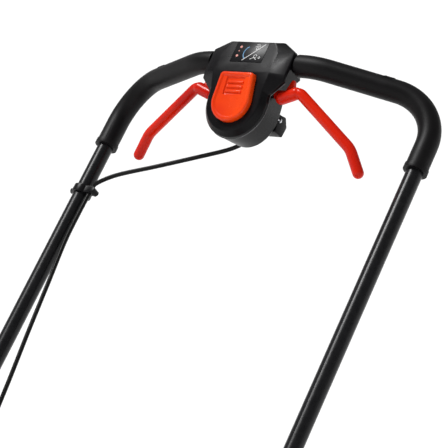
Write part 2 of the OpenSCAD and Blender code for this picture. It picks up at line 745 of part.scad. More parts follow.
// The arm that the tie rod hangs on
module tie_lever(p) {
    translate([0, p.x, p.y]) {
        profile(deck_x + 1.5, deck_x + 1.5 + arm_t) hull() {
            circle(9);
            translate(tie_offset) circle(8);
        }
        translate([0, tie_offset.x, tie_offset.y]) xrod(deck_x + 2, deck_x + 12, tie_pin_r);
    }
}
lever_rest = 145;                            // angle of the height lever above level at rest
grip_foot = 118;                             // distance from the pivot to its grip
hub_end = wheel_x0 + wheel_w + 2;
module rear_axle_rod() {
    color(steel) row() {
        axle(rear_pivot);
        tie_lever(rear_pivot);
        translate([0, rear_pivot.x, rear_pivot.y]) rotate([lever_rest - 90, 0, 0])
            mirror([1, 0, 0]) profile(deck_x + 7, deck_x + 11) hull() {
                circle(9);
                translate([0, grip_foot]) circle(6);
            }
    }
}
module height_grip() {
    color(red) row() translate([0, rear_pivot.x, rear_pivot.y]) rotate([lever_rest - 90, 0, 0])
        translate([-deck_x - 9, 0, grip_foot]) difference() {
            linear_extrude(46) offset(4) square([3, 14], center = true);
            block([-2 - snug, -6 - snug, -1], [2 + snug, 6 + snug, 6 + snug]);
        }
}
module front_axle_rod() {
    color(steel) row() {
        axle(front_pivot);
        tie_lever(front_pivot);
    }
}
module tie_rod() {
    a = front_pivot + tie_offset;
    b = rear_pivot + tie_offset;
    color(steel) row() difference() {
        profile(deck_x + 1.5 + arm_t + gap, deck_x + 1.5 + arm_t + gap + 4) union() {
            for (p = [a, b]) translate(p) circle(8);
            polygon([a + [0, 5], a - [0, 5], b - [0, 5], b + [0, 5]]);
        }
        for (p = [a, b]) translate([0, p.x, p.y]) xrod(deck_x, deck_x + 20, tie_pin_r + (p == a ? gap : run));
    }
}

module at_wheel(s, y, r) {
    row() translate([0, y, r]) side(s) translate([wheel_x0, 0, 0]) rotate([90, 0, 90]) children();
}
module rim(s, y, r) {
    rr = r - 18;
    color(black) at_wheel(s, y, r) difference() {
        union() {
            linear_extrude(wheel_w) ring(16, axle_r + run);
            translate([0, 0, wheel_w / 2 - 2]) linear_extrude(4) ring(rr - 3, 14);
            linear_extrude(wheel_w) ring(rr, rr - 4);
        }
        for (a = [0:60:300]) rotate(a) translate([(rr + 12) / 2, 0, 0])
            cylinder(r = (rr - 24) / 2.6, h = wheel_w);
    }
}
module tyre(s, y, r) {
    color(rubber) at_wheel(s, y, r) rotate_extrude($fn = 96) polygon([[r - 18, 0], [r - 6, 0],
        [r, 6], [r, wheel_w - 6], [r - 6, wheel_w], [r - 18, wheel_w]]);
}
module wheel_cap(s, y, r) {
    color(red) at_wheel(s, y, r) translate([0, 0, wheel_w]) difference() {
        cylinder(r = 20, h = 7);
        translate([0, 0, -1]) cylinder(r = 12, h = 5);
    }
}

// ---------- flap and grass box ----------
module flap_rod() {
    color(steel) row() translate([0, flap_hinge.x, flap_hinge.y]) xrod(-tower_x - 1, tower_x + 1, flap_pin_r);
}
flap_len = 110;
module rear_flap() {
    color(black) row() translate([0, flap_hinge.x, flap_hinge.y]) difference() {
        union() {
            xrod(-tunnel_x, tunnel_x, 6.5);
            block([-tunnel_x, 0, -9], [tunnel_x, flap_len, -6]);
            block([-tunnel_x, -3, -8], [tunnel_x, 5, 0]);
        }
        xrod(-tunnel_x - 1, tunnel_x + 1, flap_pin_r + run);
    }
}
bag_z0 = 66;
bag_split = 150;
bag_wall = 3;
bag_back = bag_front + bag_len;
module bag_outline(d) {
    offset(-d) hull() {
        translate([-bag_x, bag_front]) square([2 * bag_x, 60]);
        both() translate([bag_x - 45, bag_back - 45]) circle(45);
    }
}
module box_lower() {
    color(black) row() difference() {
        translate([0, 0, bag_z0]) linear_extrude(bag_split - bag_z0) bag_outline(0);
        translate([0, 0, bag_z0 + bag_wall]) linear_extrude(bag_split - bag_z0) bag_outline(bag_wall);
        block([-tunnel_x + 4, bag_front - 1, 108], [tunnel_x - 4, bag_front + 6, bag_split + 1]);
    }
}
fill_y = 500;
module box_lid() {
    color(black) row() difference() {
        translate([0, 0, bag_split]) linear_extrude(bag_top - bag_split) bag_outline(0);
        translate([0, 0, bag_split - 1]) linear_extrude(bag_top - bag_split + 1 - bag_wall)
            bag_outline(bag_wall);
        block([-tunnel_x + 4, bag_front - 1, bag_split - 1], [tunnel_x - 4, bag_front + 6, bag_top - 12]);
        block([-20, fill_y + 8, bag_top - 5], [20, fill_y + 34, bag_top + 1]);
    }
    color(black) row() both() difference() {
        block([32, fill_y - 4, bag_top], [36, fill_y + 4, bag_top + 8]);
        translate([0, fill_y, bag_top + 4]) xrod(31, 37, 1.5 + run);
    }
}
module fill_flap() {
    color(red) row() translate([0, fill_y, bag_top + 4]) {
        xrod(-36, 36, 1.5);
        block([-31, -2, -2], [31, 42, 1]);
    }
}
module box_handle() {
    color(black) row() translate([0, 440, bag_top]) {
        bent([[-62, 0, 0], [-62, 0, 34], [62, 0, 34], [62, 0, 0]], [18, 18], 8);
    }
}

deck_shell();
motor_hood();
motor_can();
shaft_bearings();
axle_clamps();
height_quadrant();
flap_rod();
hood_screws();
cable_deck();
motor_shaft();
motor_armature();
cooling_fan();
blade();
blade_bolt();
rear_axle_rod();
height_grip();
front_axle_rod();
tie_rod();
rim(1, front_y, front_wheel_d / 2);  // front_left_rim
tyre(1, front_y, front_wheel_d / 2);  // front_left_tyre
wheel_cap(1, front_y, front_wheel_d / 2);  // front_left_cap
rim(-1, front_y, front_wheel_d / 2);  // front_right_rim
tyre(-1, front_y, front_wheel_d / 2);  // front_right_tyre
wheel_cap(-1, front_y, front_wheel_d / 2);  // front_right_cap
rim(1, rear_y, rear_wheel_d / 2);  // rear_left_rim
tyre(1, rear_y, rear_wheel_d / 2);  // rear_left_tyre
wheel_cap(1, rear_y, rear_wheel_d / 2);  // rear_left_cap
rim(-1, rear_y, rear_wheel_d / 2);  // rear_right_rim
tyre(-1, rear_y, rear_wheel_d / 2);  // rear_right_tyre
wheel_cap(-1, rear_y, rear_wheel_d / 2);  // rear_right_cap
rear_flap();
box_lower();
box_lid();
box_handle();
fill_flap();
lower_tube(1);  // lower_tube_left
lower_tube(-1);  // lower_tube_right
cable_lower();
knob(1);  // left_knob
knob(-1);  // right_knob
cam(1);  // left_cam
cam(-1);  // right_cam
upper_tube();
fold_bolts();
grip(1);  // left_grip
grip(-1);  // right_grip
switch_cover();
switch_base();
info_panel();
mains_inlet();
lever_shaft();
microswitches();
cable_gland();
cable_clip();
cover_screws();
cable_upper();
lever(1);  // left_lever
lever(-1);  // right_lever
safety_button();
button_spring();
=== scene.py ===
# %% [markdown]
# # A corded push lawn mower, seen at its handle
# The imported model is the fixed frame: steel tubes, shells, wheels and joints already have
# their true sizes. This lesson dresses that frame. Each piece that the eye rests on is
# modelled again, with operators, and takes the place of its plain node.

# %% Load the frame
import json
import math

import bpy
from mathutils import Matrix, Vector


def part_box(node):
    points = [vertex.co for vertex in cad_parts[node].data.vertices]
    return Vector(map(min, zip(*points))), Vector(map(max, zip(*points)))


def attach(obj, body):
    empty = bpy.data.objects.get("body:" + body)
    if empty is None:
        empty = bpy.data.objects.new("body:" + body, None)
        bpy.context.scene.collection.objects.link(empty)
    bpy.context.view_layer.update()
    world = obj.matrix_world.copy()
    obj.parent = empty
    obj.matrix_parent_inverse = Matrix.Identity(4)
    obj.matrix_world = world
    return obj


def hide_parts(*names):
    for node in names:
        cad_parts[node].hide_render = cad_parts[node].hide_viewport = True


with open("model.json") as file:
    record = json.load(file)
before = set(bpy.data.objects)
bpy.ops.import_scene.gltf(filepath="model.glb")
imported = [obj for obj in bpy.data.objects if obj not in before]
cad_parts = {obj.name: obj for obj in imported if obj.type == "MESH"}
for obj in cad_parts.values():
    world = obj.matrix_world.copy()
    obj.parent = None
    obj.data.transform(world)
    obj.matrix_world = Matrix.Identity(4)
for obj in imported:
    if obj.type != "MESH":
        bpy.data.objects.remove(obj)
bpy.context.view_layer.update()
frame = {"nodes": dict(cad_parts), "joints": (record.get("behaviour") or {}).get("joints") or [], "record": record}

joints = {joint["name"]: joint for joint in frame["joints"]}
scene = bpy.context.scene

# %% [markdown]
# ## Where the handle is
# The handle folds at two joints, and both lie on the centre line of its legs. The line from
# the deck pivot to the fold gives the slope of the legs, so every piece on the handle can be
# placed from the frame. Small parts are easier to think of in millimetres, so each piece is
# modelled in millimetres in a frame of its own, and is brought to metres when it is placed.

# %% Frames of the handle, the control box and the display
MM = 0.001
HANDLE_LEN = 0.980                  # deck pivot to the corner of the U, in metres
BOW = 70.0                          # how far the bar's middle lies ahead of the corners
CREASE, FACE = -20.0, 28.0          # where the box's face folds down to the display
BOX_TILT = math.radians(15)
PANEL_SLOPE = math.radians(13.5)

pivot = Vector(joints["lower_fold"]["pos_m"])
fold = Vector(joints["upper_fold"]["pos_m"])
leg_up = (fold - pivot).normalized()
handle_angle = math.atan2(leg_up.z, leg_up.y)
corner = pivot + leg_up * HANDLE_LEN


def frame_at(origin, angle):
    """A frame in millimetres at a point, turned about the X axis"""
    return Matrix.Translation(origin) @ Matrix.Rotation(angle, 4, "X") @ Matrix.Scale(MM, 4)


handle_frame = frame_at(corner, handle_angle - math.pi / 2)
fold_frame = frame_at(fold, handle_angle - math.pi / 2)
bar_middle = handle_frame @ Vector((0, -BOW, 0))
box_frame = frame_at(bar_middle, handle_angle + BOX_TILT)
panel_angle = handle_angle + BOX_TILT - PANEL_SLOPE
panel_frame = frame_at(box_frame @ Vector((0, CREASE, FACE)), panel_angle)
ground_frame = Matrix.Scale(MM, 4)
print("corner of the handle:", tuple(round(v, 3) for v in corner))

# %% [markdown]
# ## Camera
# The view is a long lens from the front right, a little above the handle, so that the tubes
# stay nearly parallel. The camera looks down by about eight degrees.

# %% Add the camera
LENS = 164.4
FAR_CLIP = 200.0
CAMERA_STEP = Vector((1.61865, -2.18794, 0.20591))      # from the handle's corner, in metres
YAW, PITCH = math.radians(38.1), math.radians(7.9)

camera_place = corner + CAMERA_STEP
level = math.cos(PITCH)
backward = Vector((math.sin(YAW) * level, -math.cos(YAW) * level, math.sin(PITCH)))
facing = backward.to_track_quat("Z", "Y").to_euler()
bpy.ops.object.camera_add(location=camera_place, rotation=facing)
scene.camera = bpy.context.object
scene.camera.data.lens = LENS
scene.camera.data.clip_end = FAR_CLIP
print("camera at", tuple(round(v, 2) for v in camera_place))

# %% [markdown]
# ## A small language for materials
# A material is a graph of nodes, and most of its nodes do arithmetic. Writing that arithmetic
# as Python expressions keeps it readable: a Flow wraps one output socket, and adding or
# multiplying flows adds the Math nodes. A Finish is one material and can add any other node.


# %% Flow and Finish
class Flow:
    """One output socket of a material, with arithmetic that adds Math nodes"""

    def __init__(self, finish, socket):
        self.finish = finish
        self.socket = socket

    def maths(self, operation, first, second):
        """Adds one Math node to two numbers or sockets"""
        settings = {"operation": operation}
        return self.finish.add("ShaderNodeMath", settings, {0: first, 1: second})

    def __add__(self, other):
        return self.maths("ADD", self, other)

    def __mul__(self, other):
        return self.maths("MULTIPLY", self, other)

    __radd__ = __add__
    __rmul__ = __mul__


class Finish:
    """A material: its shader's fixed values, and the nodes that vary over the surface"""

    def __init__(self, name, **fixed):
        self.material = bpy.data.materials.new(name)
        self.material.use_nodes = True
        self.tree = self.material.node_tree
        self.shader = self.tree.nodes["Principled BSDF"]
        for socket, value in fixed.items():
            self.feed(socket.replace("_", " "), value)
        self.place = self.add("ShaderNodeTexCoord", output="Object")

    def feed(self, socket, value):
        """Sets or links one input of the shader"""
        self.connect(self.shader.inputs[socket], value)

    def connect(self, socket, value):
        if isinstance(value, Flow):
            self.tree.links.new(value.socket, socket)
        elif isinstance(value, tuple) and len(value) == 3 and socket.type == "RGBA":
            socket.default_value = (*value, 1.0)
        else:
            socket.default_value = value

    def add(self, kind, settings=None, values=None, output=0):
        """Adds a node: its settings first, then the values or links of its sockets"""
        node = self.tree.nodes.new(kind)
        for key, value in (settings or {}).items():
            if key == "stops":
                node.color_ramp.elements[0].position = value[0][0]
                node.color_ramp.elements[1].position = value[1][0]
                for stop, (_, shade) in zip(node.color_ramp.elements, value):
                    stop.color = (shade, shade, shade, 1.0)
            else:
                setattr(node, key, value)
        for key, value in (values or {}).items():
            self.connect(node.inputs[key], value)
        return Flow(self, node.outputs[output])

    def noise(self, scale, detail=3.0, stretch=None):
        """Noise on the piece's own coordinates, from 0 to 1; scale is in cells per metre"""
        place = self.place
        if stretch:
            place = self.add("ShaderNodeMapping", None, {"Vector": self.place, "Scale": stretch})
        values = {"Vector": place, "Scale": scale, "Detail": detail}
        return self.add("ShaderNodeTexNoise", None, values)

    def ramp(self, value, low, high):
        """Stretches a value so that low becomes 0 and high becomes 1"""
        return self.add("ShaderNodeValToRGB", {"stops": [(low, 0.0), (high, 1.0)]}, {"Fac": value})

    def blend_colours(self, factor, dark, light):
        """Mixes two colours by a factor"""
        values = {"Factor": factor, 6: dark, 7: light}
        return self.add("ShaderNodeMix", {"data_type": "RGBA"}, values, output=2)

    def relief(self, height, strength, depth):
        """Turns a height into a bump; depth is the height of the relief in metres"""
        values = {"Strength": strength, "Distance": depth, "Height": height}
        self.feed("Normal", self.add("ShaderNodeBump", None, values))


# %% [markdown]
# ## Plastics
# Injection moulded plastic is never quite one colour. The mould leaves a fine grain, handling
# polishes patches of it, and dust dulls others. So each plastic mixes two near colours by a
# slow noise, varies its roughness by another, and carries the grain as a shallow bump.


# %% Plastic finishes
CLOUDS, RUBS, SAGS = 14.0, 38.0, 120.0      # cells per metre of the slow noises


def plastic(name, dark, light, rough, worn, grain_scale, grain_depth, shine=0.12):
    """A moulded plastic with cloudy colour, worn gloss and a fine grain"""
    finish = Finish(name, Specular_IOR_Level=shine)
    cloud = finish.ramp(finish.noise(CLOUDS), 0.35, 0.65)
    finish.feed("Base Color", finish.blend_colours(cloud, dark, light))
    rubbed = finish.ramp(finish.noise(RUBS, 5.0), 0.4, 0.7)
    finish.feed("Roughness", rubbed * worn + rough)
    grain = finish.noise(grain_scale, 2.0)
    sag = finish.noise(SAGS, 1.0)
    finish.relief(grain * 0.5 + sag, 0.35, grain_depth)
    return finish.material


finishes = {
    "red_gloss": plastic("red_gloss", (0.52, 0.006, 0.001), (0.68, 0.016, 0.001),
                         0.2, 0.1, 900.0, 0.00004, shine=0.2),
    "black_plastic": plastic("black_plastic", (0.003, 0.003, 0.0035), (0.006, 0.0055, 0.0065),
                             0.27, 0.12, 2400.0, 0.0001),
    "hood_plastic": plastic("hood_plastic", (0.007, 0.007, 0.008), (0.012, 0.012, 0.013),
                            0.42, 0.14, 1500.0, 0.0002),
    "panel": plastic("panel", (0.002, 0.002, 0.003), (0.004, 0.004, 0.005),
                     0.3, 0.08, 300.0, 0.00002, shine=0.15),
}
print("plastics:", sorted(finishes))

# %% [markdown]
# ## Rubber, foam and tyres
# The sleeves on the bar are soft foam rubber: dull, with fine pores. The cable's sheath is
# smooth and shiny. Tyres are dull and pick up dust, which shows as a paler grey in patches.


# %% Rubber finishes
DUST_PATCHES = 22.0


def rubber(name, dark, light, rough, pore_scale, pore_depth, dust):
    """A black rubber with pores, and pale dust where a noise is high"""
    finish = Finish(name, Specular_IOR_Level=0.14)
    patches = finish.ramp(finish.noise(DUST_PATCHES, 6.0), 0.45, 0.72)
    finish.feed("Base Color", finish.blend_colours(patches * dust, dark, light))
    pores = finish.noise(pore_scale, 4.0)
    finish.feed("Roughness", pores * 0.14 + patches * 0.08 + rough)
    finish.relief(pores, 0.6, pore_depth)
    return finish.material


finishes["soft_grip"] = rubber("soft_grip", (0.004, 0.0036, 0.004), (0.011, 0.010, 0.011),
                               0.36, 1300.0, 0.0002, dust=0.5)
finishes["cable_rubber"] = rubber("cable_rubber", (0.007, 0.007, 0.007), (0.014, 0.014, 0.014),
                                  0.2, 500.0, 0.00005, dust=0.4)
finishes["tyre"] = rubber("tyre", (0.012, 0.012, 0.012), (0.075, 0.07, 0.062),
                          0.62, 700.0, 0.0004, dust=0.7)
print("rubbers: soft_grip, cable_rubber, tyre")

# %% [markdown]
# ## Metals and paint
# The tubes are powder coated: a thin satin paint with a faint orange peel. Bolts and axles are
# zinc plated, so their gloss runs in short streaks. The blade is ground, and the motor's can
# is cast, with a coarse skin.


# %% Metal finishes
STREAKS = 160.0


def metal(name, dark, light, metallic, rough, streak, skin_scale, skin_depth, shine=0.5):
    """A metal or a painted metal whose streaks run along X"""
    finish = Finish(name, Metallic=metallic, Specular_IOR_Level=shine)
    streaks = finish.noise(STREAKS, 4.0, stretch=(streak, 1.0, 1.0))
    finish.feed("Base Color", finish.blend_colours(finish.ramp(streaks, 0.35, 0.7), dark, light))
    finish.feed("Roughness", streaks * 0.16 + rough)
    finish.relief(finish.noise(skin_scale, 2.0), 0.4, skin_depth)
    return finish.material


finishes["tube_black"] = metal("tube_black", (0.004, 0.004, 0.005), (0.007, 0.007, 0.008),
                               0.0, 0.2, 1.0, 420.0, 0.00006, shine=0.25)
finishes["steel"] = metal("steel", (0.50, 0.51, 0.53), (0.70, 0.71, 0.73),
                          1.0, 0.24, 0.15, 900.0, 0.00005)
finishes["blade_steel"] = metal("blade_steel", (0.16, 0.16, 0.17), (0.42, 0.42, 0.43),
                                1.0, 0.28, 0.1, 600.0, 0.0002)
finishes["motor_iron"] = metal("motor_iron", (0.14, 0.14, 0.15), (0.26, 0.26, 0.27),
                               0.7, 0.42, 1.0, 350.0, 0.0006)
print("finishes:", sorted(finishes))

# %% [markdown]
# ## Finish the carried-over nodes
# Every node starts with the finish of its own material slot. The pieces made below then take
# the place of the nodes whose plain shape isn't enough.

# %% Assign the finishes
for part in frame["record"]["subparts"]:
    mesh = frame["nodes"][part["node"]].data
    mesh.materials.clear()
    mesh.materials.append(finishes[part["material_slot"]])
slot_of = {part["node"]: part["material_slot"] for part in frame["record"]["subparts"]}
bodies = frame["record"]["behaviour"]["bodies"]
body_of = {node: body for body, nodes in bodies.items() for node in nodes}

# %% [markdown]
# ## Selecting
# Operators act on whatever is selected, and a loaded frame or a new primitive leaves things
# selected. These helpers keep that in hand: start() clears the selection before a primitive,
# focus() takes up one piece, and pick() selects its points, edges or faces by their place.


# %% Selection helpers
def clear_selection():
    """Leaves edit mode and deselects everything"""
    if bpy.context.object and bpy.context.object.mode != "OBJECT":
        bpy.ops.object.mode_set(mode="OBJECT")
    bpy.ops.object.select_all(action="DESELECT")


def start(primitive, **size):
    """Adds a primitive on its own and returns its object"""
    clear_selection()
    primitive(**size)
    piece = bpy.context.object
    bpy.ops.object.transform_apply(location=True, rotation=True, scale=True)
    return piece


def focus(piece, mode="OBJECT"):
    """Makes one piece the only selected and active object, in the mode asked for"""
    clear_selection()
    piece.select_set(True)
    bpy.context.view_layer.objects.active = piece
    if mode == "EDIT":
        bpy.ops.object.mode_set(mode="EDIT")


def pick(piece, kind, test):
    """Selects only the points, edges or faces whose middle and normal pass a test"""
    focus(piece, "EDIT")
    bpy.ops.mesh.select_mode(type=kind)
    bpy.ops.mesh.select_all(action="DESELECT")
    bpy.ops.object.mode_set(mode="OBJECT")
    mesh = piece.data
    if kind == "VERT":
        chosen = [(item, item.co, item.normal) for item in mesh.vertices]
    elif kind == "FACE":
        chosen = [(item, item.center, item.normal) for item in mesh.polygons]
    else:
        ends = [[mesh.vertices[v].co for v in item.vertices] for item in mesh.edges]
        chosen = [(item, (a + b) / 2, (b - a).normalized())
                  for item, (a, b) in zip(mesh.edges, ends)]
    for item, middle, normal in chosen:
        item.select = bool(test(middle, normal))
    bpy.ops.object.mode_set(mode="EDIT")


# %% [markdown]
# ## Cutting, softening and placing
# A modifier is applied as soon as it is added, so the mesh always shows what was made. What
# repeats is made once and copied.


# %% Modifier and placing helpers
def modifier(piece, kind, **settings):
    """Adds a modifier and applies it at once"""
    focus(piece)
    added = piece.modifiers.new(kind.lower(), kind)
    for key, value in settings.items():
        setattr(added, key, value)
    bpy.ops.object.modifier_apply(modifier=added.name)


def carve(piece, cutter, operation="DIFFERENCE"):
    """Cuts a piece with another object, or joins them, and throws the other away"""
    modifier(piece, "BOOLEAN", object=cutter, operation=operation, solver="EXACT")
    bpy.data.objects.remove(cutter)


def soften(piece, width, segments=2, angle=30):
    """Rounds every edge sharper than an angle"""
    modifier(piece, "BEVEL", width=width, segments=segments, limit_method="ANGLE",
             angle_limit=math.radians(angle), use_clamp_overlap=True, miter_outer="MITER_ARC")


def even_shading(piece):
    """Lets the large faces lead the shading, so that the bevels don't smear it"""
    modifier(piece, "WEIGHTED_NORMAL", keep_sharp=True, weight=80)


def join(pieces):
    """Joins several meshes into the first one"""
    clear_selection()
    for piece in pieces:
        piece.select_set(True)
    bpy.context.view_layer.objects.active = pieces[0]
    if len(pieces) > 1:
        bpy.ops.object.join()
    return pieces[0]


def shift(piece, matrix):
    """Moves a mesh within its object, so that the object stays at the origin"""
    piece.data.transform(matrix)
    if matrix.determinant() < 0:
        piece.data.flip_normals()


def twin(piece):
    """A copy of a piece, with a mesh of its own"""
    copy = piece.copy()
    copy.data = piece.data.copy()
    bpy.context.collection.objects.link(copy)
    return copy


def both_sides(left):
    """A piece of the left side and its mirror image, each with its side's name"""
    right = twin(left)
    shift(right, Matrix.Scale(-1, 4, (1, 0, 0)))
    return (("left", left), ("right", right))


def finish(piece, name, matrix, node, smooth=35, material=None):
    """Places a piece, smooths it, and gives it the finish and the body of a node"""
    shift(piece, matrix)
    focus(piece)
    bpy.ops.object.shade_smooth_by_angle(angle=math.radians(smooth))
    piece.name = name
    piece.data.name = name
    slot = slot_of[node]
    if not piece.data.materials:
        piece.data.materials.append(material or finishes[slot])
    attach(piece, body_of[node])
    print(f"{name}: {len(piece.data.polygons)} faces")
    return piece


# %% [markdown]
# ## Drawing an outline
# Flat plates and shells start as an outline. It is drawn by walking one point round it and
# filling it in, and the face is then extruded to the plate's height.


# %% Outline helpers
NEAR = 0.01                         # points this close count as one level


def arc(centre, radius, first, last, steps):
    """Points on an arc, in degrees, ends included"""
    turns = [math.radians(first + (last - first) * i / steps) for i in range(steps + 1)]
    return [(centre[0] + radius * math.cos(a), centre[1] + radius * math.sin(a)) for a in turns]


def outline(points, z=0.0):
    """A flat filled face, drawn by extruding one point along its outline"""
    piece = start(bpy.ops.mesh.primitive_plane_add, size=2)
    bpy.ops.object.mode_set(mode="EDIT")
    bpy.ops.mesh.select_mode(type="VERT")
    bpy.ops.mesh.select_all(action="SELECT")
    bpy.ops.mesh.merge(type="CENTER")
    bpy.ops.transform.translate(value=(points[0][0], points[0][1], z))
    for (x0, y0), (x1, y1) in zip(points, points[1:]):
        bpy.ops.mesh.extrude_region_move(TRANSFORM_OT_translate={"value": (x1 - x0, y1 - y0, 0)})
    bpy.ops.mesh.select_all(action="SELECT")
    bpy.ops.mesh.edge_face_add()
    bpy.ops.object.mode_set(mode="OBJECT")
    return piece


def raise_face(piece, z, height):
    """Extrudes the flat face at a level upwards or downwards"""
    pick(piece, "FACE", lambda middle, normal: abs(middle.z - z) < NEAR and abs(normal.z) > 0.99)
    bpy.ops.mesh.extrude_region_move(TRANSFORM_OT_translate={"value": (0, 0, height)})
    bpy.ops.object.mode_set(mode="OBJECT")


def tidy_normals(piece):
    """Merges doubled points and turns every face outwards"""
    focus(piece, "EDIT")
    bpy.ops.mesh.select_all(action="SELECT")
    bpy.ops.mesh.remove_doubles(threshold=0.001)
    bpy.ops.mesh.normals_make_consistent(inside=False)
    bpy.ops.object.mode_set(mode="OBJECT")


def slab(points, low, high):
    """A closed plate with an outline, from one level to another"""
    piece = outline(points, low)
    raise_face(piece, low, high - low)
    tidy_normals(piece)
    return piece


# %% [markdown]
# ## Sweeping a rod
# A bent rod is a disc that is extruded along each straight and spun round each bend, which
# is what a tube bender does, so the bends come out as true arcs. Spin turns against the
# right-hand rule about its axis, so its angle is negative here.


# %% Rod helpers
BEND_STEP = 5                       # degrees that one step of a bend turns by


def sweep(points, bends, radius, sides=32):
    """A rod through points, extruded along the straights and spun round the bends"""
    points = [Vector(p) for p in points]
    directions = [(b - a).normalized() for a, b in zip(points, points[1:])]
    turns = [a.angle(b) for a, b in zip(directions, directions[1:])]
    trims = [0.0] + [r * math.tan(t / 2) for r, t in zip(bends, turns)] + [0.0]
    heading = directions[0].to_track_quat("Z", "Y").to_euler()
    piece = start(bpy.ops.mesh.primitive_circle_add, vertices=sides, radius=radius,
                  fill_type="NGON", location=points[0], rotation=heading)
    bpy.ops.object.mode_set(mode="EDIT")
    bpy.ops.mesh.select_mode(type="VERT")
    bpy.ops.mesh.select_all(action="SELECT")
    for i, direction in enumerate(directions):
        length = (points[i + 1] - points[i]).length - trims[i] - trims[i + 1]
        bpy.ops.mesh.extrude_region_move(TRANSFORM_OT_translate={"value": direction * length})
        if i < len(turns):
            side = directions[i + 1] - directions[i + 1].dot(direction) * direction
            centre = points[i + 1] - direction * trims[i + 1] + side.normalized() * bends[i]
            axis = direction.cross(directions[i + 1])
            steps = max(4, round(math.degrees(turns[i]) / BEND_STEP))
            bpy.ops.mesh.spin(steps=steps, angle=-turns[i], center=centre, axis=axis)
    bpy.ops.object.mode_set(mode="OBJECT")
    tidy_normals(piece)
    return piece


def rod(low, high, radius, sides=48):
    """A closed cylinder between two points"""
    return sweep([low, high], [], radius, sides)


# %% [markdown]
# ## Wires along a curve
# Cables and thin ribs follow a smooth curve through a few points. The curve is given a round
# section with closed ends and is then made a mesh.


# %% Wire helpers
def through(points, steps):
    """Points on a smooth curve that passes through the points given"""
    points = [Vector(p) for p in points]
    last = len(points) - 1
    path = []
    for i in range(last):
        a, b, c, d = points[max(0, i - 1)], points[i], points[i + 1], points[min(last, i + 2)]
        for k in range(steps):
            t = k / steps
            path.append(0.5 * (2 * b + (c - a) * t + (2 * a - 5 * b + 4 * c - d) * t * t
                               + (3 * b - a - 3 * c + d) * t * t * t))
    return path + [points[-1]]


def wire(path, radius, round_steps=5):
    """A round wire or cable along a path, as a closed mesh"""
    clear_selection()
    bpy.ops.curve.primitive_nurbs_path_add()
    piece = bpy.context.object
    curve = piece.data
    curve.splines.clear()
    spline = curve.splines.new("POLY")
    spline.points.add(len(path) - 1)
    for point, place in zip(spline.points, path):
        point.co = (*place, 1.0)
    curve.bevel_depth = radius
    curve.bevel_resolution = round_steps
    curve.use_fill_caps = True
    bpy.ops.object.convert(target="MESH")
    piece = bpy.context.object
    tidy_normals(piece)
    return piece


# %% [markdown]
# ## Soft sleeves
# Two foam rubber sleeves cover the bar and turn down round the corners. A sleeve is a swept
# rod with a thicker, rolled lip at its lower end, bored out by a thinner rod on the same
# path, so the wall is even all along. A few slanted ribs, where a thumb rests, are thin
# cords laid on its skin.


# %% Model the sleeves
GRIP_R = 15.0
GRIP_BORE = 11.2
GRIP_BENDS = [100, 62]              # at the bow and at the corner
GRIP_LEG = 95.0                     # how far it turns down the leg
LEG_X = 254.0
LIP = 7.0
RIB_R = 0.9
RIB_START, RIB_PITCH, RIB_LEAN, RIBS = 92.0, 3.4, 0.9, 4
bar_right = [(69, -BOW, 0), (92, -BOW, 0), (LEG_X, 0, 0), (LEG_X, 0, -GRIP_LEG)]


def sleeve_rib(along):
    """One slanted rib, a third of the way round the sleeve"""
    bend_point, corner_point = Vector(bar_right[1]), Vector(bar_right[2])
    axis = (corner_point - bend_point).normalized()
    up = Vector((0, 0, 1))
    front = up.cross(axis)
    middle = bend_point + axis * along
    turns = [math.radians(-150 + 12 * i) for i in range(10)]
    path = [middle + axis * RIB_LEAN * i + GRIP_R * (front * math.cos(a) - up * math.sin(a))
            for i, a in enumerate(turns)]
    return wire(path, RIB_R, 2)


def sleeve():
    """The left sleeve with its lip, its bore and its ribs"""
    piece = sweep(bar_right, GRIP_BENDS, GRIP_R, sides=48)
    lip = rod((LEG_X, 0, -GRIP_LEG), (LEG_X, 0, -GRIP_LEG - LIP), GRIP_R + 1)
    carve(piece, lip, "UNION")
    soften(piece, 1.1, 3, 40)
    past_both_ends = [(60, -BOW, 0), bar_right[1], bar_right[2], (LEG_X, 0, -GRIP_LEG - 20)]
    carve(piece, sweep(past_both_ends, GRIP_BENDS, GRIP_BORE, sides=48))
    return join([piece] + [sleeve_rib(RIB_START + RIB_PITCH * i) for i in range(RIBS)])


for word, piece in both_sides(sleeve()):
    finish(piece, f"{word}_foam_sleeve", handle_frame, f"{word}_grip", smooth=50)
    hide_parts(f"{word}_grip")

# %% [markdown]
# ## Shells of the control box
# Two moulded shells clamp the bar between them and meet at a bright parting line. Both grow
# from the same outline: a round end, straight sides, and shoulders that widen into collars
# round the bar. The outline is extruded and inset, so that a broad chamfer leads up to the
# face, and the far end is pulled down to make the sloping display.

# %% Outline of the shells
BOX_R = 48.0                        # radius of the round end
REACH = -62.0                       # where the round end's centre lies
COLLAR = 66.0                       # half width over the collars
COLLAR_END, CORNER = 14.0, 44.0     # where the far corners are cut off
PARTING = 15.0                      # level of the parting line
END = 29.85                         # the far end
DROP = -11.97                       # how far the display's slope has fallen at the end
ROUND = 32                          # steps round the box's round end


def shell_outline(flank):
    """Round end, sides, shoulders and collars; flank is where a shoulder begins"""
    half = [(BOX_R, flank), (COLLAR, flank + COLLAR - BOX_R), (COLLAR, COLLAR_END), (CORNER, END)]
    return arc((0, REACH), BOX_R, 180, 360, ROUND) + half + [(-x, y) for x, y in reversed(half)]


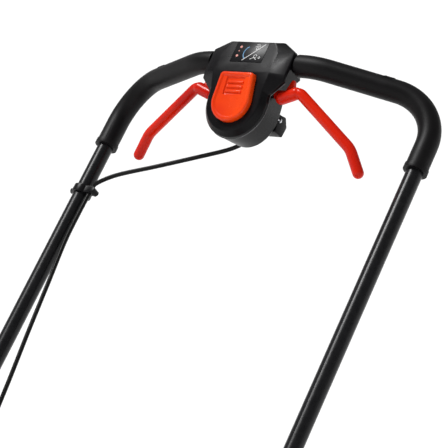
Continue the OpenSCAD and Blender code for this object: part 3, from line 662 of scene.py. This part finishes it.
def slope_the_end(piece):
    """Cuts the shell at the crease and pulls everything beyond it down to the display's slope"""
    focus(piece, "EDIT")
    bpy.ops.mesh.select_all(action="SELECT")
    bpy.ops.mesh.bisect(plane_co=(0, CREASE, 0), plane_no=(0, 1, 0))
    bpy.ops.object.mode_set(mode="OBJECT")
    levels = sorted({round(v.co.y, 2) for v in piece.data.vertices if v.co.y > CREASE + 0.1})
    for level in levels:
        pick(piece, "VERT", lambda place, normal: abs(place.y - level) < NEAR)
        bpy.ops.transform.translate(value=(0, 0, DROP * (level - CREASE) / (END - CREASE)))
    bpy.ops.object.mode_set(mode="OBJECT")


BAR_WAY_R, BAR_WAY = 11.15, 90


def bar_cutter():
    """A rod a little thicker than the bar, which cuts the way of the bar through a shell"""
    return rod((-BAR_WAY, 0, 0), (BAR_WAY, 0, 0), BAR_WAY_R, 64)


# %% [markdown]
# ## The cover's block
# The chamfer is an inset with depth. On the shoulders it has to be wider than on the round
# end, so the points of the face near the collars are drawn in afterwards. The far end is
# then sloped, and its lower edge is tucked in under the display.

# %% Outline of the button and block of the cover
BUTTON_R = 30.0
BUTTON_TOP = -24.0
TOP_ROUND = 6.0                     # radius of the two upper corners


def button_outline(grow):
    """The safety button's outline, grown by a clearance"""
    r, side, top = BUTTON_R + grow, BUTTON_R - 3 + grow, BUTTON_TOP + grow
    corner_points = arc((side - TOP_ROUND, top - TOP_ROUND), TOP_ROUND, 5, 90, 6)
    return (arc((0, REACH), r, 180, 360, 28) + corner_points
            + [(-x, y) for x, y in reversed(corner_points)])


CHAMFER = 6.5
WALL = 2.5
COLLAR_DRAW, CORNER_DRAW = 0.755, 0.84      # how far the face's edges are drawn in
UNDERCUT, END_TRIM = 4.0, 1.9


def cover_block(points, low, high, top_low):
    """A shell's block: straight sides to one level, a chamfer up to the face, the end sloped"""
    piece = outline(points, low)
    raise_face(piece, low, top_low - low)
    tidy_normals(piece)
    pick(piece, "FACE", lambda middle, normal: middle.z > top_low - 0.1 and normal.z > 0.9)
    bpy.ops.mesh.inset(thickness=CHAMFER, depth=high - top_low)
    pick(piece, "VERT", lambda place, normal: place.z > high - 0.1 and abs(place.x) > 50)
    bpy.ops.transform.resize(value=(COLLAR_DRAW, 1, 1), center_override=(0, 0, high))
    pick(piece, "VERT", lambda place, normal: place.z > high - 0.1 and place.y > 20)
    bpy.ops.transform.resize(value=(CORNER_DRAW, 1, 1), center_override=(0, 0, high))
    slope_the_end(piece)
    pick(piece, "VERT", lambda place, normal: place.y > END - 8 and place.z < low + DROP + 0.5)
    bpy.ops.transform.translate(value=(0, -UNDERCUT, 0))
    pick(piece, "VERT", lambda place, normal: place.y > END - 1)
    bpy.ops.transform.translate(value=(0, -END_TRIM, 0))
    bpy.ops.object.mode_set(mode="OBJECT")
    tidy_normals(piece)
    return piece


def on_display(piece):
    """Turns a piece from the display's slope into the control box's frame"""
    shift(piece, Matrix.Translation((0, CREASE, FACE)) @ Matrix.Rotation(-PANEL_SLOPE, 4, "X"))
    return piece


def plate(x0, x1, y0, y1, low, high):
    """A rectangular plate between limits along x, y and z"""
    return slab([(x0, y0), (x1, y0), (x1, y1), (x0, y1)], low, high)


# %% [markdown]
# ## Hollowing the cover
# A smaller block of the same form hollows the shell, which keeps its wall even and its
# openings crisp. The button's opening, the display's recess and the way of the bar are cut
# next. A glossy bead lies along the parting line, and its paler grey is a painted highlight where the real shell
# catches the light.

# %% Model the cover
COVER_FLANK = -48.0
BUTTON_GAP = 0.7

cover = cover_block(shell_outline(COVER_FLANK), PARTING, FACE, PARTING + 5.5)
soften(cover, 1.4, 3, 25)
inner_side = BOX_R - WALL
inner_corners = [(inner_side, 10), (36, 25), (-36, 25), (-inner_side, 10)]
pocket = arc((0, REACH), inner_side, 180, 360, ROUND) + inner_corners
carve(cover, cover_block(pocket, PARTING - 16, FACE - WALL, PARTING + 3))
carve(cover, slab(button_outline(BUTTON_GAP), FACE - 8, FACE + 8))
carve(cover, on_display(plate(-26, 26, 13, 45.5, -1.2, 2)))
carve(cover, bar_cutter())
seam = [(x, y, PARTING + 0.5) for x, y in shell_outline(COVER_FLANK)]
bead = wire(seam[-2:] + seam[:ROUND + 3], 0.6, 3)
# The bead's pale grey base colour is a painted highlight along the parting line; its gloss is real.
rim_highlight_paint = plastic("painted_highlight_rim", (0.03, 0.03, 0.032), (0.16, 0.16, 0.17),
                   0.16, 0.1, 300.0, 0.00002, shine=0.6)
finish(bead, "parting_rim", box_frame, "switch_cover", material=rim_highlight_paint)
finish(cover, "control_cover", box_frame, "switch_cover")
even_shading(cover)
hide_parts("switch_cover")

# %% [markdown]
# ## The base
# The lower shell is deeper and draws in towards its back, so that it leaves its mould. The
# two levers come out of it through slots, and its collars are cut by the same bar.

# %% Model the base
BASE_FLANK = -28.0
BACK = -27.0                        # level of the base's back
BACK_END = -20.0                    # its level at the far end
BACK_DRAW = (0.84, 0.97, 1)         # how far the back is drawn in
BACK_BEVEL = 6.0
LEVER_Y, LEVER_Z = -41.0, 2.4       # the levers' pin
SLOT_R = 6.6

base = outline(shell_outline(BASE_FLANK), PARTING)
raise_face(base, PARTING, BACK - PARTING)
tidy_normals(base)
slope_the_end(base)
pick(base, "VERT", lambda place, normal: place.z < BACK + 0.5)
bpy.ops.transform.resize(value=BACK_DRAW, center_override=(0, -40, BACK))
pick(base, "VERT", lambda place, normal: place.z < BACK - 5)
bpy.ops.transform.translate(value=(0, -9, BACK_END - BACK - DROP))
pick(base, "VERT", lambda place, normal: place.y > END - 3)
bpy.ops.transform.translate(value=(0, -5.5, 1.2))
pick(base, "EDGE", lambda middle, along: middle.z < -15 and abs(along.z) < 0.5)
bpy.ops.mesh.bevel(offset=BACK_BEVEL, segments=5, affect="EDGES")
bpy.ops.object.mode_set(mode="OBJECT")
soften(base, 1.0, 2, 28)
hollow_side = inner_side - 8
hollow = arc((0, REACH), hollow_side, 180, 360, ROUND) + [(hollow_side, 14), (-hollow_side, 14)]
carve(base, slab(hollow, BACK + WALL, PARTING + 1))
carve(base, bar_cutter())
for side in (-1, 1):
    carve(base, rod((side * 30, LEVER_Y, LEVER_Z), (side * 70, LEVER_Y, LEVER_Z), SLOT_R))
finish(base, "control_base", box_frame, "switch_base", smooth=28)
even_shading(base)
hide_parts("switch_base")

# %% [markdown]
# ## The safety button
# It has to be pressed before a lever works, so it is large and red. Its rim is rounded and
# its face is dished by an inset that goes down; three ridges for the thumb stand in a pocket.
# A flange under the cover keeps it in, and the return spring sits in a hole underneath.

# %% Model the safety button
BUTTON_LOW = 21.0
BUTTON_HIGH = 35.5
RIDGES = (-51, -44.5, -38)
SPRING_HOLE_R = 10

button = slab(button_outline(0.0), BUTTON_LOW, BUTTON_HIGH)
pick(button, "FACE", lambda middle, normal: normal.z > 0.9)
bpy.ops.mesh.inset(thickness=4.2, depth=0)
bpy.ops.mesh.inset(thickness=2.4, depth=-1.5)
bpy.ops.object.mode_set(mode="OBJECT")
soften(button, 2.6, 4, 35)
recess = plate(-15, 15, -56, -31, BUTTON_HIGH - 3.2, BUTTON_HIGH + 2)
soften(recess, 1.5, 3, 40)
carve(button, recess)
for y in RIDGES:
    ridge = plate(-13, 13, y - 1.5, y + 1.5, BUTTON_HIGH - 5, BUTTON_HIGH - 1.1)
    soften(ridge, 1.0, 3, 40)
    carve(button, ridge, "UNION")
carve(button, slab(button_outline(2.0), BUTTON_LOW, BUTTON_LOW + 3.5), "UNION")
spring_hole = rod((0, REACH, BUTTON_LOW - 2), (0, REACH, BUTTON_LOW + 10.5), SPRING_HOLE_R)
carve(button, spring_hole)
signal_red = plastic("signal_red", (0.70, 0.025, 0.002), (0.86, 0.06, 0.003),
                     0.2, 0.08, 900.0, 0.00003, shine=0.25)
finish(button, "start_button", box_frame, "safety_button", smooth=30, material=signal_red)
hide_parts("safety_button")

# %% [markdown]
# ## The two bail levers
# Each lever turns on a pin across the box. Its barrel, the fin on top of it and the long arm
# are one moulding, so they are joined as a block of voxels and smoothed, which leaves the
# soft fillets of a moulded part. The pin's bore is drilled last, so it stays round.

# %% Model the levers
ARM_R, BARREL_R, NECK_R = 7.5, 8.4, 5.8
PIN_BORE = 3.05
VOXEL = 0.75
ARM_TIP = (180, -8, -92)
ARM_PATH = [(62, -3, -3), (84, -1, 4), (165, -4, -63), ARM_TIP]
ARM_BENDS = [11, 34]
BARREL_ENDS = [(58, -4, -4.5), (79, -2, 2.5)]
FIN = [(58, -2), (76, -2), (70.5, 19.5), (67.5, 19.5)]


def lever():
    """The left bail lever; its arm is laid out upright and its pin along the box"""
    arm = sweep(ARM_PATH, ARM_BENDS, ARM_R, 28)
    barrel = sweep(BARREL_ENDS, [], BARREL_R, 32)
    knobs = [(ARM_R, ARM_TIP)] + [(BARREL_R, place) for place in BARREL_ENDS]
    balls = [start(bpy.ops.mesh.primitive_ico_sphere_add, subdivisions=4, radius=r, location=place)
             for r, place in knobs]
    outer = join([arm, barrel] + balls)
    shift(outer, Matrix.Rotation(-(handle_angle + BOX_TILT), 4, "X"))
    neck = rod((31, 0, 0), (60, 0, 0), NECK_R, 32)
    piece = join([outer, neck, slab(FIN, -3.5, 3.5)])
    modifier(piece, "REMESH", mode="VOXEL", voxel_size=VOXEL, use_smooth_shade=True)
    modifier(piece, "SMOOTH", factor=0.5, iterations=6)
    carve(piece, rod((25, 0, 0), (74.4, 0, 0), PIN_BORE, 32))
    shift(piece, Matrix.Translation((0, LEVER_Y, LEVER_Z)))
    return piece


for word, piece in both_sides(lever()):
    finish(piece, f"{word}_bail_lever", box_frame, f"{word}_lever", smooth=50)
    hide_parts(f"{word}_lever")

# %% [markdown]
# ## The display
# A glossy printed film shows how to start the mower. It lies in the recess of the cover.
# Its marks are printing ink, which is one colour with a faint mottle.

# %% Model the display and mix the inks
film = plate(-25.7, 25.7, 13.3, 45.2, -1.1, 0.2)
soften(film, 0.5, 2, 40)
finish(film, "display_film", panel_frame, "info_panel")
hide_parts("info_panel")


def print_finish(name, colour):
    """Printing ink: one colour with a faint mottle"""
    ink = Finish(name, Coat_Weight=0.4)
    mottle = ink.ramp(ink.noise(900.0), 0.3, 0.7)
    ink.feed("Base Color", ink.blend_colours(mottle, tuple(0.8 * c for c in colour), colour))
    ink.feed("Roughness", mottle * 0.1 + 0.2)
    return ink.material


inks = {"white": (0.75, 0.75, 0.75), "blue": (0.03, 0.22, 0.45), "coral": (0.62, 0.2, 0.16)}


# %% [markdown]
# ## The display's marks
# The film carries only generic marks: dots, an arc, a line and a few rings and bars. Each
# mark is a hair-thin solid laid on the film, so it stays sharp from near by.

# %% Draw the marks
INK_LOW, INK_HIGH = 0.15, 0.32
MARK_SHIFT = -4.0


def stroke(points, width):
    """A flat line of ink through points"""
    ahead = [Vector(p) for p in points]
    left, right = [], []
    for i, p in enumerate(ahead):
        way = (ahead[min(i + 1, len(ahead) - 1)] - ahead[max(i - 1, 0)]).normalized()
        across = Vector((-way.y, way.x)) * width / 2
        left.append(tuple(p + across))
        right.append(tuple(p - across))
    return slab(right + left[::-1], INK_LOW, INK_HIGH)


def ring_mark(x, y, radius):
    """An open ring of ink"""
    return stroke(arc((x, y), radius, 0, 330, 10), 0.6)


def dot_mark(x, y, radius):
    """A round spot of ink"""
    return slab(arc((x, y), radius, 0, 345, 15), INK_LOW, INK_HIGH)


marks = {
    "white": [stroke([(-7, 20), (21, 46)], 0.9), stroke([(6, 42), (14, 42)], 0.7),
              stroke([(7, 45), (13, 45)], 0.7), ring_mark(10, 39, 1.6), ring_mark(12, 27, 2.4),
              ring_mark(19, 25, 1.4), stroke([(5, 22), (10, 25), (15, 22)], 0.7)],
    "blue": [stroke(arc((2, 32), 11, 120, 235, 10), 1.3)],
    "coral": [dot_mark(-17, 41, 1.9), dot_mark(-18, 27, 1.9), dot_mark(-18, 34.5, 0.9)],
}
for ink_name, pieces in marks.items():
    mark = join(pieces)
    shift(mark, Matrix.Translation((0, MARK_SHIFT, 0)))
    mark.data.materials.append(print_finish(f"ink_{ink_name}", inks[ink_name]))
    finish(mark, f"display_mark_{ink_name}", panel_frame, "info_panel")

# %% [markdown]
# ## Control cable
# The cable leaves a gland under the box, runs through a clip on one leg and down the handle.
# Where it crosses a fold it lies along the fold's own axis, so it only twists there. Its
# route follows the frame's cable, and hangs a little higher between the box and the clip.

# %% Model the cable
CABLE_R = 3.0
upper_route = [(-22, -12, -76), (-22, -4, -74), (-30, 5, -76), (-52, 9, -85), (-92, 7, -101),
               (-150, 1, -126), (-204, -3, -147), (-230, -4.5, -163), (-236, -4.5, -172),
               (-236, -4.5, -184), (-236, -5, -215), (-235, -5, -260), (-228, -5, -320),
               (-220, -4, -400), (-212, -3, -470), (-206, -2, -530), (-200, -1, -562),
               (-188, 0, -578), (-175, 0, -580)]
lower_route = [(-175, 0, 0), (-164, 0, 0), (-152, 0, -10), (-149, 0, -28), (-160, 0, -70),
               (-180, 0, -130), (-194, 0, -200), (-198, 0, -280), (-196, 0, -350),
               (-190, 0, -385), (-180, 0, -399), (-167, 0, -400)]
deck_route = [(-167, 0, 0), (-156, 0, 0), (-142, -8, 2), (-130, -35, 4), (-122, -70, 0),
              (-114, -98, -7), (-110, -118, -10), (-110, -128, -10)]
cables = {"upper": (upper_route, handle_frame), "lower": (lower_route, fold_frame),
          "deck": (deck_route, frame_at(pivot, 0))}
for part, (route, place) in cables.items():
    run = wire(through(route, 6), CABLE_R)
    cable = finish(run, f"control_cable_{part}", place, f"cable_{part}", smooth=60)
    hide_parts(f"cable_{part}")

# %% [markdown]
# ## The cable's clip
# A collar is pushed on the leg, with a lobe that holds the cable and a small boss opposite.
# The blocks are joined first, then softened together, and the two holes are cut last.

# %% Model the clip
CLIP_Z = -178.0
CLIP_R = 14.2
CABLE_HOLE = (18, -4.5)
clip = rod((0, 0, -5.5), (0, 0, 5.5), CLIP_R)
carve(clip, plate(10, 23.5, -9.5, 0, -5.1, 5.1), "UNION")
carve(clip, rod((23.2, -10.5, 0), (23.2, 2.5, 0), 4.3, 24), "UNION")
carve(clip, rod((-19.5, 0.3, 0), (-11, 0.3, 0), 3.9, 24), "UNION")
soften(clip, 1.0, 3, 40)
carve(clip, rod((0, 0, -9), (0, 0, 9), 11.1))
carve(clip, rod((*CABLE_HOLE, -9), (*CABLE_HOLE, 9), CABLE_R + 0.2, 24))
shift(clip, Matrix.Translation((-LEG_X, 0, CLIP_Z)))
finish(clip, "cable_clamp", handle_frame, "cable_clip")
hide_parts("cable_clip")

# %% [markdown]
# ## Mains inlet
# An angled shroud at the back of the box takes the lead of an extension cable. Its side view
# is drawn, extruded across the box and softened, and the well of the socket is cut out.

# %% Model the inlet
INLET_X = 28.0
INLET_HALF = 10.5
INLET_SIDE = [(-58, BACK + 2), (-57, -41), (-69, -48), (-84, -43), (-82, BACK + 2)]
WELL_AT, WELL_TURN = (-73, -35, 0), math.radians(158)
quarter = math.radians(90)
stand = Matrix.Rotation(quarter, 4, "Z") @ Matrix.Rotation(quarter, 4, "X")
inlet = slab(INLET_SIDE, -INLET_HALF, INLET_HALF)
soften(inlet, 1.4, 3, 25)
well = plate(-4.5, 4.5, -2, 30, -8, 8)
shift(well, Matrix.Translation(WELL_AT) @ Matrix.Rotation(WELL_TURN, 4, "Z"))
carve(inlet, well)
shift(inlet, Matrix.Translation((INLET_X, 0, 0)) @ stand)
finish(inlet, "inlet_shroud", box_frame, "mains_inlet")
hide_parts("mains_inlet")

# %% [markdown]
# ## Turned pieces
# Wheels are made as on a lathe: a closed outline is drawn, stood upright and spun all the
# way round the axle.

# %% Lathe
WHEEL_W = 40.0
TYRE_H = 18.0
AXLE_BORE = 5.2


def lathe(profile, steps=72):
    """Spins a closed outline in the x-z plane round the z axis"""
    piece = outline(profile)
    shift(piece, Matrix.Rotation(quarter, 4, "X"))
    focus(piece, "EDIT")
    bpy.ops.mesh.select_all(action="SELECT")
    bpy.ops.mesh.delete(type="ONLY_FACE")
    bpy.ops.mesh.select_all(action="SELECT")
    bpy.ops.mesh.spin(steps=steps, angle=math.radians(360), center=(0, 0, 0), axis=(0, 0, 1))
    bpy.ops.object.mode_set(mode="OBJECT")
    tidy_normals(piece)
    return piece


# %% [markdown]
# ## The tyres
# The tyres are solid rubber with square lugs. Every other face of the tread is inset and
# pushed in, with the two halves out of step, and shallow dents run round the sidewalls.


# %% Tyre
LUGS, DENTS = 96, 48


def angle_step(middle, steps):
    """Says 0 or 1 in turn for the sectors round the axle"""
    return int(math.floor(math.atan2(middle.y, middle.x) / (2 * math.pi) * steps)) % 2


def tyre(radius):
    """A solid tyre: a spun section, with lugs left between grooves"""
    inner, w = radius - TYRE_H, WHEEL_W
    section = [(inner, 0), (radius - 7, 0), (radius - 2, 4), (radius, 10), (radius, w / 2 - 2),
               (radius - 2.5, w / 2 - 1.2), (radius - 2.5, w / 2 + 1.2), (radius, w / 2 + 2),
               (radius, w - 10), (radius - 2, w - 4), (radius - 7, w), (inner, w)]
    piece = lathe(section, LUGS)

    def is_groove(middle, normal):
        out = math.hypot(middle.x, middle.y)
        return out > radius - 1.2 and angle_step(middle, LUGS) == int(middle.z >= w / 2)

    def is_dent(middle, normal):
        out = math.hypot(middle.x, middle.y)
        on_sidewall = radius - 5.5 < out < radius - 3.5 and abs(normal.z) > 0.5
        return on_sidewall and angle_step(middle, DENTS) == 0

    pick(piece, "FACE", is_groove)
    bpy.ops.mesh.inset(thickness=0.9, depth=-1.9, use_individual=True)
    pick(piece, "FACE", is_dent)
    bpy.ops.mesh.inset(thickness=0.7, depth=-0.8, use_individual=True)
    bpy.ops.object.mode_set(mode="OBJECT")
    return piece


# %% [markdown]
# ## The rims and caps
# The rim is a dished disc with holes, a hub and a flange, and a domed red cap closes the hub.


# %% Rim and hub cap
HOLES = 6


def rim(radius):
    """A rim with a flange, a dished web with six holes and a hub"""
    rr, w = radius - TYRE_H - 0.1, WHEEL_W
    section = [(AXLE_BORE, 0.2), (15, 0.2), (16, 2), (15.5, w / 2 - 4), (rr - 8, w / 2 - 1),
               (rr - 5, w / 2 - 3), (rr - 4, 1.5), (rr - 1.5, 0.3), (rr, 1), (rr, w - 1),
               (rr - 1.5, w - 0.3), (rr - 4.5, w - 1.5), (rr - 5.5, w / 2 + 4),
               (rr - 9, w / 2 + 2), (15.5, w / 2 + 5), (15, w - 2), (13.5, w - 0.2),
               (AXLE_BORE, w - 0.2)]
    piece = lathe(section)
    hole_r, ring_r = (rr - 26) / 2.7, (rr + 9) / 2
    for i in range(HOLES):
        turn = math.radians(i * 360 / HOLES)
        x, y = ring_r * math.cos(turn), ring_r * math.sin(turn)
        carve(piece, rod((x, y, -1), (x, y, w + 1), hole_r, 32))
    soften(piece, 0.8, 2, 35)
    return piece


def hub_cap():
    """A domed cap with a shallow ring, hollow underneath"""
    section = [(12.2, 0), (20, 0), (19.6, 3), (17.5, 6), (13, 6.6), (12, 5.6), (8, 5.8), (6, 6.9),
               (0.01, 7), (0.01, 3.8), (12.2, 3.8)]
    return lathe(section, 48)


# %% [markdown]
# ## Fitting the wheels
# Each piece is made once for an axle and copied to both sides, turned round for the right
# one. The wheel's radius and place come from its joint, and its inner face from its tyre.

# %% Copy and place the wheels
wheel_kit = {
    "tyre": (tyre, 0.0, 40),
    "rim": (rim, 0.0, 35),
    "cap": (lambda radius: hub_cap(), WHEEL_W, 30),
}
for end in ("front", "rear"):
    middle = Vector(joints[f"{end}_left_wheel_spin"]["pos_m"])
    for word, (make, lift, smooth) in wheel_kit.items():
        model = make(middle.z / MM)
        lay = Matrix.Rotation(quarter, 4, "Y") @ Matrix.Translation((0, 0, lift))
        for side, name in ((1, "left"), (-1, "right")):
            piece = twin(model)
            node = f"{end}_{name}_{word}"
            inner_x = min(abs(face[0]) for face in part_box(f"{end}_{name}_tyre")) / MM
            place = Matrix.Translation((side * inner_x, middle.y / MM, middle.z / MM))
            turn = Matrix.Rotation(0 if side > 0 else 2 * quarter, 4, "Z")
            matrix = ground_frame @ place @ turn @ lay
            finish(piece, f"{end}_{name}_wheel_{word}", matrix, node, smooth=smooth)
            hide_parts(node)
        bpy.data.objects.remove(model)

# %% [markdown]
# ## Deck, hood and grass box
# These shells already have their true walls and openings in the frame. What a moulded or
# pressed shell needs beyond that is soft edges, so each one is copied, its loose triangles
# are merged and flattened, and a small bevel runs round its edges.

# %% Soften the large shells
def recast(node, width):
    """A merged copy of a node's mesh, in millimetres, with softened edges"""
    mesh = frame["nodes"][node].data.copy()
    mesh.materials.clear()
    piece = bpy.data.objects.new(node + "_copy", mesh)
    bpy.context.collection.objects.link(piece)
    shift(piece, Matrix.Scale(1 / MM, 4))
    focus(piece, "EDIT")
    bpy.ops.mesh.select_all(action="SELECT")
    bpy.ops.mesh.remove_doubles(threshold=0.01)
    bpy.ops.mesh.dissolve_limited(angle_limit=math.radians(1))
    bpy.ops.object.mode_set(mode="OBJECT")
    modifier(piece, "BEVEL", width=width, segments=2, limit_method="ANGLE",
             angle_limit=math.radians(30), use_clamp_overlap=False)
    return piece


for node, name, width in (("box_lower", "grass_box_tub", 1.6), ("box_lid", "grass_box_lid", 1.0),
                          ("motor_hood", "motor_cover", 1.2), ("deck_shell", "steel_deck", 0.8)):
    piece = finish(recast(node, width), name, ground_frame, node)
    even_shading(piece)
    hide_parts(node)

# %% [markdown]
# ## Ribs and louvres
# Large plain walls of plastic would buckle, so the tub has upright ribs. The lid has two rows
# of louvres, which let the air out and keep the grass in. One bar is made for each and all
# bars of a wall are joined.


# %% Ribs and louvres of the grass box
LID_TOP = 228.0
RIB_TALL = 46.0


def bars(spots, size):
    """Small softened bars at spots, with the size given along x, y and z"""
    a, b, c = (v / 2 for v in size)
    model = plate(-a, a, -b, b, -c, c)
    soften(model, 0.6, 2, 40)
    made = [twin(model) for _ in spots]
    for bar, spot in zip(made, spots):
        shift(bar, Matrix.Translation(spot))
    bpy.data.objects.remove(model)
    return join(made)


def spread(low, high, count):
    """Even steps from one value to another, ends included"""
    return [low + (high - low) * i / (count - 1) for i in range(count)]


tub_low, tub_high = [Vector(corner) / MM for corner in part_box("box_lower")]
rib_z = (tub_low.z + tub_high.z) / 2
side_spots = [(side * (tub_high.x + 0.3), y, rib_z) for side in (-1, 1)
              for y in spread(tub_low.y + 60, tub_high.y - 70, 9)]
finish(bars(side_spots, (3, 5, RIB_TALL)), "tub_ribs", ground_frame, "box_lower")
back_spots = [(x, tub_high.y + 0.2, rib_z) for x in spread(-90, 90, 7)]
finish(bars(back_spots, (5, 2.4, RIB_TALL)), "tub_back_ribs", ground_frame, "box_lower")
louvres = [(x, y, LID_TOP + 0.4) for x in (-92, 92)
           for y in spread(tub_low.y + 60, tub_high.y - 90, 12)]
finish(bars(louvres, (78, 5, 3)), "lid_louvres", ground_frame, "box_lid")

# %% [markdown]
# ## Floor
# The mower stands on a large pale floor, whose edge is too far away to be seen.

# %% Add the floor
clear_selection()
bpy.ops.mesh.primitive_plane_add(size=160)
floor = bpy.context.object
floor.name = "floor"
floor_finish = Finish("floor", Roughness=0.9)
mottle = floor_finish.ramp(floor_finish.noise(0.5), 0.3, 0.7)
pale = floor_finish.blend_colours(mottle, (0.94, 0.94, 0.94), (0.96, 0.96, 0.96))
floor_finish.feed("Base Color", pale)
floor.data.materials.append(floor_finish.material)

# %% [markdown]
# ## Sky and sun
# A white studio: the sky is white at the horizon and dimmer above, so that the black shells
# keep their depth, and one wide sun lays a soft highlight along every tube. The Standard
# view keeps the whites white.

# %% Add the sky and the sun
world = bpy.data.worlds.new("studio")
world.use_nodes = True
sky = world.node_tree.nodes
height = sky.new("ShaderNodeSeparateXYZ")
fade = sky.new("ShaderNodeMapRange")
for limit, value in (("From Min", 0.1), ("From Max", 0.35), ("To Min", 1.0), ("To Max", 0.28)):
    fade.inputs[limit].default_value = value
wire_up = world.node_tree.links.new
wire_up(sky.new("ShaderNodeTexCoord").outputs["Generated"], height.inputs[0])
wire_up(height.outputs["Z"], fade.inputs["Value"])
wire_up(fade.outputs["Result"], sky["Background"].inputs["Strength"])
sky["Background"].inputs["Color"].default_value = (1, 1, 1, 1)
scene.world = world
scene.view_settings.view_transform = "Standard"

bpy.ops.object.light_add(type="SUN", rotation=(math.radians(14), math.radians(-24), 0))
sun = bpy.context.object.data
sun.energy = 3.0
sun.angle = math.radians(20)
